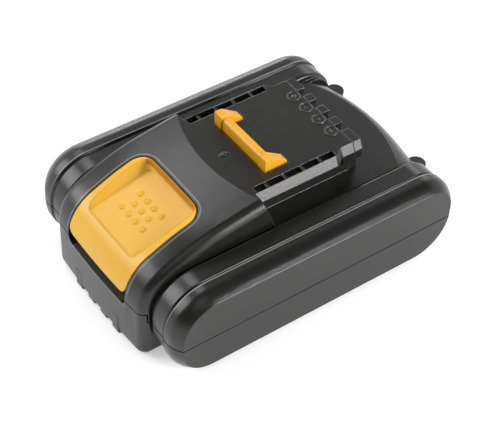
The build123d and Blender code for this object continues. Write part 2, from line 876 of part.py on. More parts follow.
# Release button with its thumb pan
with BuildPart() as release_button:
    add(hump())
    add(plan_prism(opening_half - button_gap, skirt_rear_y, button_corner, 0, far), mode=Mode.INTERSECT)
    add(front_prism(opening_half - button_gap, button_bottom_z, button_foot_corner), mode=Mode.INTERSECT)
    # Lower edge of the skirt, kept clear of the first cell
    with BuildSketch(Plane.YZ):
        with BuildLine():
            Polyline((0, rear_skirt_z), (skirt_rear_y, rear_skirt_z), (skirt_mid_y, skirt_mid_z),
                     (skirt_front_y, skirt_front_z), (skirt_front_y, 0), (0, 0), close=True)
        make_face()
    extrude(amount=half_width, both=True, mode=Mode.SUBTRACT)
    # Hollow under the pan
    pan_slope = math.tan(math.radians(pan_angle))
    underside = pan_thickness / math.cos(math.radians(pan_angle))
    inner_rear_y = skirt_rear_y - button_rear_wall
    inner_rear_z = pan_rear_z - (pan_rear_y - inner_rear_y) * pan_slope - underside
    inner_front_y = nose_front_y(button_front_wall)
    with BuildSketch(Plane.YZ):
        with BuildLine():
            Polyline((inner_rear_y, 0), (inner_rear_y, inner_rear_z), (pan_front_y, pan_front_z - underside),
                     (button_corner_y, button_corner_z), (inner_front_y, button_corner_z - button_wall),
                     (inner_front_y, 0), close=True)
        make_face()
    extrude(amount=opening_half - button_gap - button_wall, both=True, mode=Mode.SUBTRACT)
    # Thumb pan
    floor_normal = (0, -math.sin(math.radians(pan_angle)), math.cos(math.radians(pan_angle)))
    middle_y = (pan_rear_y + pan_front_y) / 2
    middle_z = (pan_rear_z + pan_front_z) / 2
    pan_floor = Plane(origin=(0, middle_y, middle_z), x_dir=(1, 0, 0), z_dir=floor_normal)
    top_rise = pan_top_rear_z - pan_top_front_z
    top_run = pan_top_rear_y - pan_top_front_y
    top_y = (pan_top_rear_y + pan_top_front_y) / 2
    top_z = (pan_top_rear_z + pan_top_front_z) / 2
    pan_mouth = Plane(origin=(0, top_y, top_z), x_dir=(1, 0, 0), z_dir=(0, -top_rise, top_run))
    with BuildSketch(pan_floor):
        floor_length = math.hypot(pan_rear_y - pan_front_y, pan_rear_z - pan_front_z)
        RectangleRounded(2 * pan_half, floor_length, pan_corner)
    with BuildSketch(pan_mouth):
        RectangleRounded(2 * pan_top_half, math.hypot(top_run, top_rise), pan_mouth_corner)
    loft(mode=Mode.SUBTRACT)
    # Grip bumps in three rows, each the cap of a ball
    ball_radius = (bump_radius**2 + bump_height**2) / (2 * bump_height)
    for row, count in enumerate(bump_rows):
        row_y = (bump_first_row_y - middle_y) / math.cos(math.radians(pan_angle)) - row * bump_row_pitch
        for column in range(count):
            bump_x = (column - (count - 1) / 2) * bump_pitch
            with Locations(pan_floor * Pos(bump_x, row_y, bump_height - ball_radius)):
                Sphere(ball_radius)
    # Slots for the tongues of the latch frame
    for side in SIDES:
        inner, outer = sorted((side * (tongue_inner - fit_gap), side * (tongue_outer + fit_gap)))
        add(block(inner, outer, inner_rear_y - wall, 0, frame_bottom_z - fit_gap,
                  frame_bottom_z + frame_thickness + fit_gap), mode=Mode.SUBTRACT)
release_button.part.label = "release_button"

# Latch frame carrying the hook
frame_top_z = frame_bottom_z + frame_thickness
frame_half = cup_x + cup_inner
cup_places = [(-cup_x, cup_y), (cup_x, cup_y)]
with BuildPart() as latch_frame:
    add(block(-frame_half, frame_half, skirt_rear_y + fit_gap, bar_rear_y, frame_bottom_z, frame_top_z))
    for side in SIDES:
        inner, outer = sorted((side * tongue_inner, side * tongue_outer))
        add(block(inner, outer, skirt_rear_y - tongue_reach, skirt_rear_y + tongue_reach,
                  frame_bottom_z, frame_top_z))
    add(block(-frame_window_half, frame_window_half, frame_window_front, frame_window_rear,
              frame_bottom_z, frame_top_z), mode=Mode.SUBTRACT)
    # Hook bar and its two prongs
    add(block(-prong_inner, prong_inner, hook_front_y + bar_setback, bar_rear_y, frame_bottom_z, bar_top_z))
    for side in SIDES:
        inner, outer = sorted((side * prong_inner, side * hook_half))
        with BuildSketch(Plane.YZ.offset(inner)):
            with BuildLine():
                Polyline((hook_front_y, frame_bottom_z), (bar_rear_y, frame_bottom_z),
                         (bar_rear_y, frame_top_z), (prong_rear_y, frame_top_z + prong_rear_y - bar_rear_y),
                         (prong_rear_y, prong_tip_z), (prong_flat_y, hook_top_z), (hook_front_y, hook_top_z),
                         close=True)
            make_face()
        extrude(amount=outer - inner)
    # Spring cups
    foot = (Align.CENTER, Align.CENTER, Align.MIN)
    for x, y in cup_places:
        with Locations((x, y, frame_bottom_z)):
            Cylinder(cup_outer, cup_top_z - frame_bottom_z, align=foot)
            Cylinder(cup_inner, cup_top_z - cup_roof - frame_bottom_z, align=foot, mode=Mode.SUBTRACT)
latch_frame.part.label = "latch_frame"

# Bracket over the cells that carries the springs
bracket_top_z = spring_seat_z
valleys = [(index - (cell_count - 2) / 2) * cell_pitch for index in range(cell_count - 1)]
with BuildPart() as latch_bracket:
    add(block(-bracket_half, bracket_half, bracket_front_y, bracket_rear_y, bracket_bottom_z, bracket_top_z))
    fillet(latch_bracket.edges().filter_by(Axis.Z), leg_radius)
    for x in (-bracket_leg_x, bracket_leg_x):
        for y in valleys[:bracket_valleys]:
            with Locations((x, y, holder_top)):
                Cylinder(leg_radius, bracket_bottom_z - holder_top, align=foot)
    for x, y in cup_places:
        with Locations((x, y, bracket_top_z)):
            Cylinder(guide_post_radius, guide_post_top - bracket_top_z, align=foot)
latch_bracket.part.label = "latch_bracket"

# Latch springs
spring_top_z = cup_top_z - cup_roof
spring_height = spring_top_z - spring_seat_z - spring_wire
springs = []
for name, (x, y) in zip(("latch_spring_left", "latch_spring_right"), cup_places):
    with BuildPart() as spring:
        with BuildLine() as coil:
            Helix(spring_height / spring_turns, spring_height, spring_mean_radius,
                  center=(x, y, spring_seat_z + spring_wire / 2))
        with BuildSketch(Plane(origin=coil.line @ 0, z_dir=coil.line % 0)):
            Circle(spring_wire / 2)
        sweep(path=coil.line)
    spring.part.label = name
    springs.append(spring)

# Cells, every second one turned round
cell_places = [(index - (cell_count - 1) / 2) * cell_pitch for index in range(cell_count)]
cell_facing = [1 if index % 2 == 0 else -1 for index in range(cell_count)]
can_length = 2 * cell_half_length - nub_height
cells = []
for index, (y, facing) in enumerate(zip(cell_places, cell_facing)):
    with BuildPart() as cell:
        with Locations(lying(-facing * nub_height / 2, y, cell_z)):
            Cylinder(can_radius, can_length)
        chamfer(cell.edges(), can_round)
        with Locations(lying(facing * (cell_half_length - nub_height / 2), y, cell_z)):
            Cylinder(nub_radius, nub_height)
    cell.part.label = f"cell_{index + 1}"
    cells.append(cell)

with BuildPart() as cell_sleeves:
    for y, facing in zip(cell_places, cell_facing):
        with Locations(lying(-facing * nub_height / 2, y, cell_z)):
            Cylinder(sleeve_radius, can_length - 2 * can_round)
            Cylinder(can_radius + cell_gap, can_length, mode=Mode.SUBTRACT)
cell_sleeves.part.label = "cell_sleeves"

with BuildPart() as cell_end_rings:
    for y, facing in zip(cell_places, cell_facing):
        ring_x = facing * (cell_half_length - nub_height + ring_thickness / 2)
        with Locations(lying(ring_x, y, cell_z)):
            Cylinder(ring_edge, ring_thickness)
            Cylinder(ring_hole, ring_thickness, mode=Mode.SUBTRACT)
cell_end_rings.part.label = "cell_end_rings"

# Cell holders at both ends of the cells
board_posts = [(post_x, y) for y in valleys[bracket_valleys:]]
holders = []
for name, side in (("holder_left", -1), ("holder_right", 1)):
    with BuildPart() as holder:
        inner, outer = sorted((side * holder_inner, side * cell_half_length))
        with BuildSketch(Plane.YZ.offset(inner)):
            add(side_face(bay_inset + strip_inset))
        extrude(amount=outer - inner)
        add(block(-far, far, -far, far, holder_top, far), mode=Mode.SUBTRACT)
        add(block(-far, far, -far, far, -far, holder_bottom), mode=Mode.SUBTRACT)
        add(block(-far, far, holder_end, far, -far, far), mode=Mode.SUBTRACT)
        add(block(-far, far, -far, -holder_end, -far, far), mode=Mode.SUBTRACT)
        # End plate
        low, high = sorted((side * cell_half_length, side * (cell_half_length + holder_plate)))
        with BuildPart(mode=Mode.PRIVATE) as plate:
            with BuildSketch(Plane.YZ.offset(low)):
                add(side_face(bay_inset + strip_inset))
            extrude(amount=high - low)
            add(block(-far, far, -far, far, holder_plate_top, far), mode=Mode.SUBTRACT)
            add(block(-far, far, -far, far, -far, holder_plate_bottom), mode=Mode.SUBTRACT)
        add(plate.part)
        for y in cell_places:
            with Locations(lying(0, y, cell_z)):
                Cylinder(sleeve_radius + bore_clearance, 2 * cell_half_length, mode=Mode.SUBTRACT)
                Cylinder(weld_hole, 2 * half_width, mode=Mode.SUBTRACT)
        # Posts under the circuit board
        for x, y in board_posts:
            with Locations((side * x, y, holder_top - board_screw_length / 2)):
                Cylinder(post_radius, board_bottom_z - holder_top + board_screw_length / 2, align=foot)
            with Locations((side * x, y, board_bottom_z + board_thickness - board_screw_length)):
                Cylinder(board_screw_radius + screw_clearance, board_screw_length, align=foot,
                         mode=Mode.SUBTRACT)
    holder.part.label = name
    holders.append(holder)

# Nickel straps welded to the cell ends
strap_x = cell_half_length + holder_plate
strap_plan = (
    ("strap_positive_end", 1, (0,), cell_places[0]),
    ("strap_1_2", -1, (0, 1), cell_places[1]),
    ("strap_2_3", 1, (1, 2), cell_places[2]),
    ("strap_3_4", -1, (2, 3), cell_places[2]),
    ("strap_4_5", 1, (3, 4), cell_places[3]),
    ("strap_negative_end", -1, (4,), cell_places[4]),
)
straps = []
for name, side, joined, tab_y in strap_plan:
    low, high = sorted((side * strap_x, side * (strap_x + strap_thickness)))
    first = cell_places[joined[0]]
    last = cell_places[joined[-1]]
    with BuildPart() as strap:
        add(block(low, high, first - strap_reach, last + strap_reach, cell_z - strap_half_width,
                  cell_z + strap_half_width))
        fillet(strap.edges().filter_by(Axis.X), tab_half - strap_thickness)
        add(block(low, high, tab_y - tab_half, tab_y + tab_half, cell_z, tab_top))
        for index in joined:
            middle = side * (cell_half_length + holder_plate / 2)
            with Locations(lying(middle, cell_places[index], cell_z)):
                Cylinder(dimple_radius, holder_plate)
    strap.part.label = name
    straps.append(strap)

# Insulating sheets and foam strips inside the side walls
sheets = []
for name, side in (("insulator_left", -1), ("insulator_right", 1)):
    low, high = sorted((side * sheet_x, side * (sheet_x + sheet_thickness)))
    with BuildPart() as sheet:
        add(block(low, high, -sheet_half, sheet_half, sheet_bottom, sheet_top))
        fillet(sheet.edges().filter_by(Axis.X), sheet_corner)
    sheet.part.label = name
    sheets.append(sheet)

with BuildPart() as foam_pads:
    for side in SIDES:
        low, high = sorted((side * strap_x, side * sheet_x))
        for start, end in foam_spans:
            add(block(low, high, start, end, foam_bottom_z, foam_top_z))
foam_pads.part.label = "foam_pads"

# Circuit board
board_top_z = board_bottom_z + board_thickness
with BuildPart() as circuit_board:
    add(block(-board_half, board_half, board_front_y, board_rear_y, board_bottom_z, board_top_z))
    fillet(circuit_board.edges().filter_by(Axis.Z), board_corner)
    for side in SIDES:
        for x, y in board_posts:
            with Locations((side * x, y, board_bottom_z)):
                Cylinder(board_screw_radius + board_screw_clearance, board_thickness, align=foot,
                         mode=Mode.SUBTRACT)
circuit_board.part.label = "circuit_board"

with BuildPart() as controller_chip:
    with Locations((chip_x, chip_y, board_top_z)):
        Box(chip_size, chip_size, chip_height, align=foot)
    chamfer(controller_chip.edges().group_by(Axis.Z)[-1], chip_edge)
controller_chip.part.label = "controller_chip"

with BuildPart() as power_transistors:
    for x in (-transistor_x, transistor_x):
        with Locations((x, transistor_y, board_top_z)):
            Box(transistor_width, transistor_length, transistor_height, align=foot)
    chamfer(power_transistors.edges().group_by(Axis.Z)[-1], transistor_edge)
power_transistors.part.label = "power_transistors"

with BuildPart() as shunt_resistor:
    with Locations((shunt_x, shunt_y, board_top_z)):
        Box(shunt_width, shunt_length, shunt_height, align=foot)
shunt_resistor.part.label = "shunt_resistor"

# Terminal block with four spring contacts
carrier_top_z = board_top_z + carrier_height
with BuildPart() as terminal_block:
    add(block(-block_carrier_half, block_carrier_half, carrier_front_y, carrier_rear_y, board_top_z,
              carrier_top_z))
    for x in fence_positions:
        low = x - carrier_fence_width / 2
        add(block(low, low + carrier_fence_width, carrier_front_y, carrier_rear_y, board_top_z,
                  board_top_z + carrier_fence_height))
terminal_block.part.label = "terminal_block"

contact_names = ("contact_negative", "contact_data", "contact_temperature", "contact_positive")
contacts = []
for name, x in zip(contact_names, notch_positions):
    with BuildPart() as contact:
        add(block(x - contact_base_half, x + contact_base_half, contact_front_y, contact_rear_y,
                  carrier_top_z, carrier_top_z + contact_base_thickness))
        with BuildSketch(Plane.XY.offset(carrier_top_z)):
            for side in SIDES:
                inside = [(x + side * contact_wide, contact_front_y),
                          (x + side * contact_pinch, contact_pinch_y),
                          (x + side * contact_flare, contact_rear_y)]
                outside = [(px + side * contact_leaf, py) for px, py in reversed(inside)]
                with BuildLine():
                    Polyline(*inside, *outside, close=True)
                make_face()
        extrude(amount=contact_height)
    contact.part.label = name
    contacts.append(contact)

# Temperature bead in the valley between two cells
bead_y = valleys[bracket_valleys]
bead_drop = math.sqrt((sleeve_radius + bead_radius)**2 - (cell_pitch / 2)**2)
with BuildPart() as thermistor:
    with Locations(lying(0, bead_y, cell_z + bead_drop)):
        Cylinder(bead_radius, bead_length)
    chamfer(thermistor.edges(), bead_edge)
    for x in (-bead_lead_x, bead_lead_x):
        with BuildSketch(Plane.XY.offset(cell_z + bead_drop)):
            with Locations((x, bead_y)):
                Circle(bead_lead_radius)
        extrude(amount=board_bottom_z - cell_z - bead_drop)
thermistor.part.label = "thermistor"


def lead(side, tab_y, end_y, radius, height):
    """Insulated lead from a strap tab up and inwards onto the board."""
    start_x = side * (strap_x + strap_thickness / 2)
    end_x = side * pad_x
    points = [(start_x, tab_y, tab_top), (start_x, tab_y, height)]
    if end_y != tab_y:
        points.append((start_x, end_y, height))
    points.append((end_x, end_y, height))
    with BuildPart() as wire:
        with BuildLine() as path:
            FilletPolyline(*points, radius=lead_bend)
        with BuildSketch(Plane(origin=path.line @ 0, z_dir=path.line % 0)):
            Circle(radius)
        sweep(path=path.line)
    return wire.part


with BuildPart() as positive_lead:
    add(lead(1, cell_places[0], positive_pad_y, lead_radius, board_top_z + lead_radius))
positive_lead.part.label = "positive_lead"

with BuildPart() as negative_lead:
    add(lead(-1, cell_places[4], negative_pad_y, lead_radius, board_top_z + lead_radius))
negative_lead.part.label = "negative_lead"

with BuildPart() as sense_leads:
    for name, side, joined, tab_y in strap_plan[1:-1]:
        end_y = tab_y if tab_y > board_front_y else sense_pad_y
        add(lead(side, tab_y, end_y, sense_radius, board_top_z + sense_radius))
sense_leads.part.label = "sense_leads"


def screw(x, y, seat, radius, head_radius, head_height, length, up):
    """Cross head screw with its head seated at seat and its shaft along up."""
    cross = min(cross_length, head_radius + head_radius - cross_width)
    with BuildPart() as part:
        with Locations(Location((x, y, seat), (0, 0, 0) if up > 0 else (2 * right_angle, 0, 0))):
            Cylinder(radius, length, align=(Align.CENTER, Align.CENTER, Align.MIN))
            Cylinder(head_radius, head_height, align=(Align.CENTER, Align.CENTER, Align.MAX))
            with Locations((0, 0, -head_height)):
                Box(cross, cross_width, cross_depth, align=foot, mode=Mode.SUBTRACT)
                Box(cross_width, cross, cross_depth, align=foot, mode=Mode.SUBTRACT)
    return part.part


# Screws
with BuildPart() as housing_screws:
    for x, y, seat in screw_places():
        add(screw(x, y, seat, screw_radius, screw_head_radius, screw_head_height, screw_length, 1))
housing_screws.part.label = "housing_screws"

with BuildPart() as board_screws:
    for side in SIDES:
        for x, y in board_posts:
            add(screw(side * x, y, board_top_z, board_screw_radius, board_screw_head, board_head_height,
                      board_screw_length - screw_clearance, -1))
board_screws.part.label = "board_screws"

single_parts = [
    lower_housing, upper_housing, contact_guide, release_button, latch_frame, latch_bracket,
    cell_sleeves, cell_end_rings, foam_pads, circuit_board, controller_chip, power_transistors,
    shunt_resistor, terminal_block, thermistor, positive_lead, negative_lead, sense_leads,
    housing_screws, board_screws,
]
for piece in single_parts + springs + cells + holders + straps + sheets + contacts:
    export_step(piece.part, f"parts/{piece.part.label}.step")
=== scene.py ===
"""Dresses a slide-on tool battery pack: shell, release button, hook, contacts and cells."""

import logging
import math
from collections.abc import Callable
from dataclasses import dataclass, field
from enum import Enum

import bmesh
import bpy
from mathutils import Matrix, Vector


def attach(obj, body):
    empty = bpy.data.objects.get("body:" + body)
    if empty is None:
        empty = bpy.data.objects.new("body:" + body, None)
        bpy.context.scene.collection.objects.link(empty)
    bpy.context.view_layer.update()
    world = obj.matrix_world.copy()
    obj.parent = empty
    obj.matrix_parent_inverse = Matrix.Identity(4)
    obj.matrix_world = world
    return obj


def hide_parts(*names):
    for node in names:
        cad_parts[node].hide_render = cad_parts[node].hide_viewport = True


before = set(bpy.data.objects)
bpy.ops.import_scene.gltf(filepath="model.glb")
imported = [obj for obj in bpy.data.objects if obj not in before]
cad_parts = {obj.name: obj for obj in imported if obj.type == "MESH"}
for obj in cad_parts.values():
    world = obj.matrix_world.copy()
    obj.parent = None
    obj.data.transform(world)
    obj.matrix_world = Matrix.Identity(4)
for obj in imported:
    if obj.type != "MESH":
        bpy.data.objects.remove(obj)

log = logging.getLogger("battery_pack")

NODES: dict[str, bpy.types.Object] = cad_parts
Colour = tuple[float, float, float]
Shaping = Callable[[bmesh.types.BMesh], None]


class Body(Enum):
    """Rigid bodies of the pack."""

    PACK = "pack"
    LATCH = "latch"


class Value:
    """A number travelling through a material, written with plain arithmetic."""

    def __init__(self, recipe: "Recipe", socket: bpy.types.NodeSocket) -> None:
        """Wraps a socket.

        Args:
            recipe: material the socket belongs to.
            socket: output that carries the number.
        """
        self.recipe = recipe
        self.socket = socket

    def _math(self, operation: str, first: "Value | float", second: "Value | float") -> "Value":
        """Adds one Math node.

        Args:
            operation: name of the sum.
            first: left side.
            second: right side.

        Returns:
            The result as a new value.
        """
        inputs = {0: first, 1: second}
        made = self.recipe.node("ShaderNodeMath", {"operation": operation}, inputs)
        return Value(self.recipe, made.outputs[0])

    def __add__(self, other: "Value | float") -> "Value":
        """Adds.

        Args:
            other: value or number to add.

        Returns:
            The sum.
        """
        return self._math("ADD", self, other)

    def __sub__(self, other: "Value | float") -> "Value":
        """Subtracts.

        Args:
            other: value or number to take away.

        Returns:
            The difference.
        """
        return self._math("SUBTRACT", self, other)

    def __rsub__(self, other: float) -> "Value":
        """Subtracts the value from a plain number.

        Args:
            other: the number.

        Returns:
            The difference.
        """
        return self._math("SUBTRACT", other, self)

    def __mul__(self, other: "Value | float") -> "Value":
        """Multiplies.

        Args:
            other: value or number to multiply by.

        Returns:
            The product.
        """
        return self._math("MULTIPLY", self, other)

    def __abs__(self) -> "Value":
        """Drops the sign.

        Returns:
            The size.
        """
        return self._math("ABSOLUTE", self, 0.0)

    def most(self, other: "Value | float") -> "Value":
        """Takes the larger of two.

        Args:
            other: value or number to compare with.

        Returns:
            The larger one.
        """
        return self._math("MAXIMUM", self, other)

    def least(self, other: "Value | float") -> "Value":
        """Takes the smaller of two.

        Args:
            other: value or number to compare with.

        Returns:
            The smaller one.
        """
        return self._math("MINIMUM", self, other)

    def root(self) -> "Value":
        """Takes the square root.

        Returns:
            The root.
        """
        return self._math("SQRT", self, 0.0)

    def above(self, edge: float) -> "Value":
        """Tells where the value is above an edge.

        Args:
            edge: level to compare with.

        Returns:
            One above the edge, zero below it.
        """
        return self._math("GREATER_THAN", self, edge)

    def ramp(self, low: float, high: float) -> "Value":
        """Steps smoothly between two levels.

        Args:
            low: value at which the step starts from zero.
            high: value at which it reaches one.

        Returns:
            The step.
        """
        made = self.recipe.node(
            "ShaderNodeMapRange",
            {"interpolation_type": "SMOOTHSTEP"},
            {"Value": self, "From Min": low, "From Max": high},
        )
        return Value(self.recipe, made.outputs[0])

    def fade(self, low: float, high: float) -> "Value":
        """Steps smoothly down between two levels.

        Args:
            low: value at which the step starts from one.
            high: value at which it reaches zero.

        Returns:
            The step.
        """
        return 1.0 - self.ramp(low, high)


class Recipe:
    """Node tree of one finish."""

    NOISE_ROUGHNESS = 0.55
    BEVEL_SAMPLES = 8
    EDGE_TURN = (0.045, 0.2)
    RAY_EDGE = 0.5

    def __init__(self, owner: bpy.types.Material | bpy.types.World) -> None:
        """Empties the node tree of a material or world.

        Args:
            owner: new material or world.
        """
        owner.use_nodes = True
        self.owner = owner
        self.tree = owner.node_tree
        self.tree.nodes.clear()

    @classmethod
    def finish(cls, name: str) -> "Recipe":
        """Starts a material.

        Args:
            name: name of the new material.

        Returns:
            Its empty recipe.
        """
        return cls(bpy.data.materials.new(name))

    def node(self, kind: str, settings: dict | None = None, inputs: dict | None = None) -> bpy.types.Node:
        """Adds a node.

        Args:
            kind: type of the node.
            settings: properties that are set first.
            inputs: value, Value or socket for each input, by name or number.

        Returns:
            The new node.
        """
        made = self.tree.nodes.new(kind)
        for name, setting in (settings or {}).items():
            setattr(made, name, setting)
        for name, given in (inputs or {}).items():
            target = made.inputs[name]
            if isinstance(given, Value):
                self.tree.links.new(given.socket, target)
            elif isinstance(given, bpy.types.NodeSocket):
                self.tree.links.new(given, target)
            else:
                target.default_value = given
        return made

    def place(self, stretch: tuple[float, float, float] = (1.0, 1.0, 1.0)) -> bpy.types.NodeSocket:
        """Gives object coordinates.

        Args:
            stretch: scale along each axis.

        Returns:
            The coordinates, in metres where the scale is one.
        """
        coords = self.node("ShaderNodeTexCoord")
        mapped = self.node("ShaderNodeMapping", None, {"Vector": coords.outputs["Object"], "Scale": stretch})
        return mapped.outputs["Vector"]

    def axis(self, index: int) -> Value:
        """Gives one of the object coordinates.

        Args:
            index: zero for across, one for along, two for height.

        Returns:
            The coordinate, in metres.
        """
        coords = self.node("ShaderNodeTexCoord")
        split = self.node("ShaderNodeSeparateXYZ", None, {0: coords.outputs["Object"]})
        return Value(self, split.outputs[index])

    def noise(
        self, grain: float, detail: float = 2.0, stretch: tuple[float, float, float] = (1.0, 1.0, 1.0)
    ) -> Value:
        """Gives cloudy noise.

        Args:
            grain: size of a blotch, in metres.
            detail: octaves.
            stretch: scale along each axis.

        Returns:
            The noise, from zero to one.
        """
        made = self.node(
            "ShaderNodeTexNoise",
            {"noise_dimensions": "3D"},
            {
                "Vector": self.place(stretch),
                "Scale": 1.0 / grain,
                "Detail": detail,
                "Roughness": self.NOISE_ROUGHNESS,
            },
        )
        return Value(self, made.outputs[0])

    def cells(self, grain: float) -> Value:
        """Scatters points and measures the distance to the nearest.

        Args:
            grain: mean distance of the points, in metres.

        Returns:
            The distance, as a share of the grain.
        """
        made = self.node(
            "ShaderNodeTexVoronoi",
            {"feature": "F1"},
            {"Vector": self.place(), "Scale": 1.0 / grain},
        )
        return Value(self, made.outputs["Distance"])

    def blend(
        self, share: Value, first: Colour | bpy.types.NodeSocket, second: Colour
    ) -> bpy.types.NodeSocket:
        """Mixes one colour towards another.

        Args:
            share: how much of the second colour shows, from zero to one.
            first: plain colour or the socket of a colour.
            second: plain colour.

        Returns:
            The mixed colour.
        """
        start = (*first, 1.0) if isinstance(first, tuple) else first
        inputs = {"Factor": share, 6: start, 7: (*second, 1.0)}
        return self.node("ShaderNodeMix", {"data_type": "RGBA"}, inputs).outputs[2]

    def rounded(self, radius: Value | float) -> bpy.types.NodeSocket:
        """Rounds the edges in the normal only.

        Args:
            radius: radius of the edges, in metres.

        Returns:
            The normal.
        """
        return self.node("ShaderNodeBevel", {"samples": self.BEVEL_SAMPLES}, {"Radius": radius}).outputs[0]

    def edges(self, radius: Value | float) -> Value:
        """Finds the edges.

        Args:
            radius: reach on either side of an edge, in metres.

        Returns:
            One along edges, zero on open faces.
        """
        true = self.node("ShaderNodeNewGeometry").outputs["Normal"]
        settings = {"operation": "DOT_PRODUCT"}
        facing = self.node("ShaderNodeVectorMath", settings, {0: true, 1: self.rounded(radius)})
        return (1.0 - Value(self, facing.outputs["Value"])).ramp(*self.EDGE_TURN)

    def relief(
        self, height: Value, depth: float, strength: float, under: bpy.types.NodeSocket
    ) -> bpy.types.NodeSocket:
        """Adds a bump to another normal.

        Args:
            height: relief, from zero to one.
            depth: full height, in metres.
            strength: share of the relief that shows.
            under: normal below it.

        Returns:
            The normal.
        """
        inputs = {"Height": height, "Distance": depth, "Strength": strength, "Normal": under}
        return self.node("ShaderNodeBump", None, inputs).outputs[0]

    def rounded_box(self, centre: tuple[float, float], half: tuple[float, float], corner: float) -> Value:
        """Measures in plan how far the outline of a rounded rectangle is.

        Args:
            centre: its middle, in metres.
            half: half its width and length.
            corner: radius of its corners.

        Returns:
            The distance, in metres, below zero inside.
        """
        across = abs(self.axis(0) - centre[0]) - (half[0] - corner)
        along = abs(self.axis(1) - centre[1]) - (half[1] - corner)
        wide = across.most(0.0)
        long = along.most(0.0)
        return (wide * wide + long * long).root() + across.most(along).least(0.0) - corner

    def backdrop_rays(self) -> Value:
        """Picks the rays that look at the backdrop.

        Returns:
            One for rays of camera, gloss and glass, zero for light.
        """
        path = self.node("ShaderNodeLightPath")
        camera, gloss, glass = (
            Value(self, path.outputs[f"Is {kind} Ray"]) for kind in ("Camera", "Glossy", "Transmission")
        )
        return (camera + gloss + glass).above(self.RAY_EDGE)

    def surface(self, varying: dict, uniform: dict) -> bpy.types.Material:
        """Finishes the material with a principled shader.

        Args:
            varying: inputs that change over the surface.
            uniform: inputs that are one number or colour.

        Returns:
            The finished material.
        """
        shader = self.node("ShaderNodeBsdfPrincipled", None, {**uniform, **varying})
        self.node("ShaderNodeOutputMaterial", None, {"Surface": shader.outputs[0]})
        return self.owner


@dataclass(frozen=True)
class MouldedPlastic:
    """Injection moulded plastic with a spark-eroded skin, and a painted highlight along its edges where an edge
    colour is given.
    """

    name: str
    slot: str
    colour: Colour
    worn: Colour
    roughness: float
    spread: float = 0.06
    grain: float = 0.0005
    depth: float = 0.00008
    sparkle: float = 0.5
    rounding: float = 0.00035
    # Colour of the painted highlight along the edges; None paints none.
    edge_highlight: Colour | None = None
    # Colour of the dark parts: the joint of the housings, and painted shade on the button's pan wall.
    shadow: Colour = (0.001, 0.001, 0.001)
    glint: Colour = (0.27, 0.27, 0.26)
    haze_scale: float = 30
    haze_detail: float = 3.0
    scuff_scale: float = 9
    scuff_stretch: tuple[float, float, float] = (1.0, 6.0, 1.0)
    scuff_edges: tuple[float, float] = (0.62, 0.78)
    skin_edges: tuple[float, float] = (0.3, 0.75)
    mottle_shares: tuple[float, float, float] = (0.5, 0.35, 0.15)
    skin_rough: float = 0.6
    scuff_rough: float = 0.04
    shadow_rough: float = 0.5
    edge_highlight_share: float = 0.8
    edge_highlight_gloss: float = 0.08
    refraction: float = 1.5

    def corner(self, recipe: Recipe) -> Value | float:
        """Gives the radius of the softened edges.

        Args:
            recipe: material in the making.

        Returns:
            The radius, in metres.
        """
        return self.rounding

    def painted_highlight(self, recipe: Recipe) -> Value | None:
        """Paints highlight lines in the glint colour.

        Args:
            recipe: material in the making.

        Returns:
            One on the lines, or nothing for plain plastic.
        """
        return None

    def dark(self, recipe: Recipe) -> Value | None:
        """Draws the part that is darker than the skin.

        Args:
            recipe: material in the making.

        Returns:
            One where it is dark, or nothing for plain plastic.
        """
        return None

    def make(self) -> bpy.types.Material:
        """Builds the material.

        Returns:
            The finished material.
        """
        recipe = Recipe.finish(self.name)
        skin = recipe.noise(self.grain)
        haze = recipe.noise(self.grain * self.haze_scale, self.haze_detail)
        scuffs = recipe.noise(self.grain * self.scuff_scale, stretch=self.scuff_stretch).ramp(*self.scuff_edges)
        skin_share, haze_share, scuff_share = self.mottle_shares
        mottle = skin.ramp(*self.skin_edges) * skin_share + haze * haze_share + scuffs * scuff_share
        colour = recipe.blend(mottle, self.colour, self.worn)
        rough = haze * self.spread + skin * (self.spread * self.skin_rough) + scuffs * self.scuff_rough
        rough = rough + (self.roughness - self.spread)
        painted_highlight = self.painted_highlight(recipe)
        dark = self.dark(recipe)
        # Painted highlight: the edges are lightened towards the edge colour and made a little glossier.
        if self.edge_highlight:
            edge_highlight_mask = recipe.edges(self.rounding) * self.edge_highlight_share
            if dark:
                edge_highlight_mask = edge_highlight_mask * (1.0 - dark)
            colour = recipe.blend(edge_highlight_mask, colour, self.edge_highlight)
            rough = rough - edge_highlight_mask * self.edge_highlight_gloss
        # Painted highlight lines, blended towards the glint colour.
        if painted_highlight:
            colour = recipe.blend(painted_highlight, colour, self.glint)
        # Dark parts: the joint of the housings, and painted shade on the button's rear wall.
        if dark:
            colour = recipe.blend(dark, colour, self.shadow)
            rough = rough + dark * self.shadow_rough
        normal = recipe.relief(skin, self.depth, self.sparkle, recipe.rounded(self.corner(recipe)))
        return recipe.surface(
            {"Base Color": colour, "Roughness": rough, "Normal": normal},
            {"IOR": self.refraction},
        )


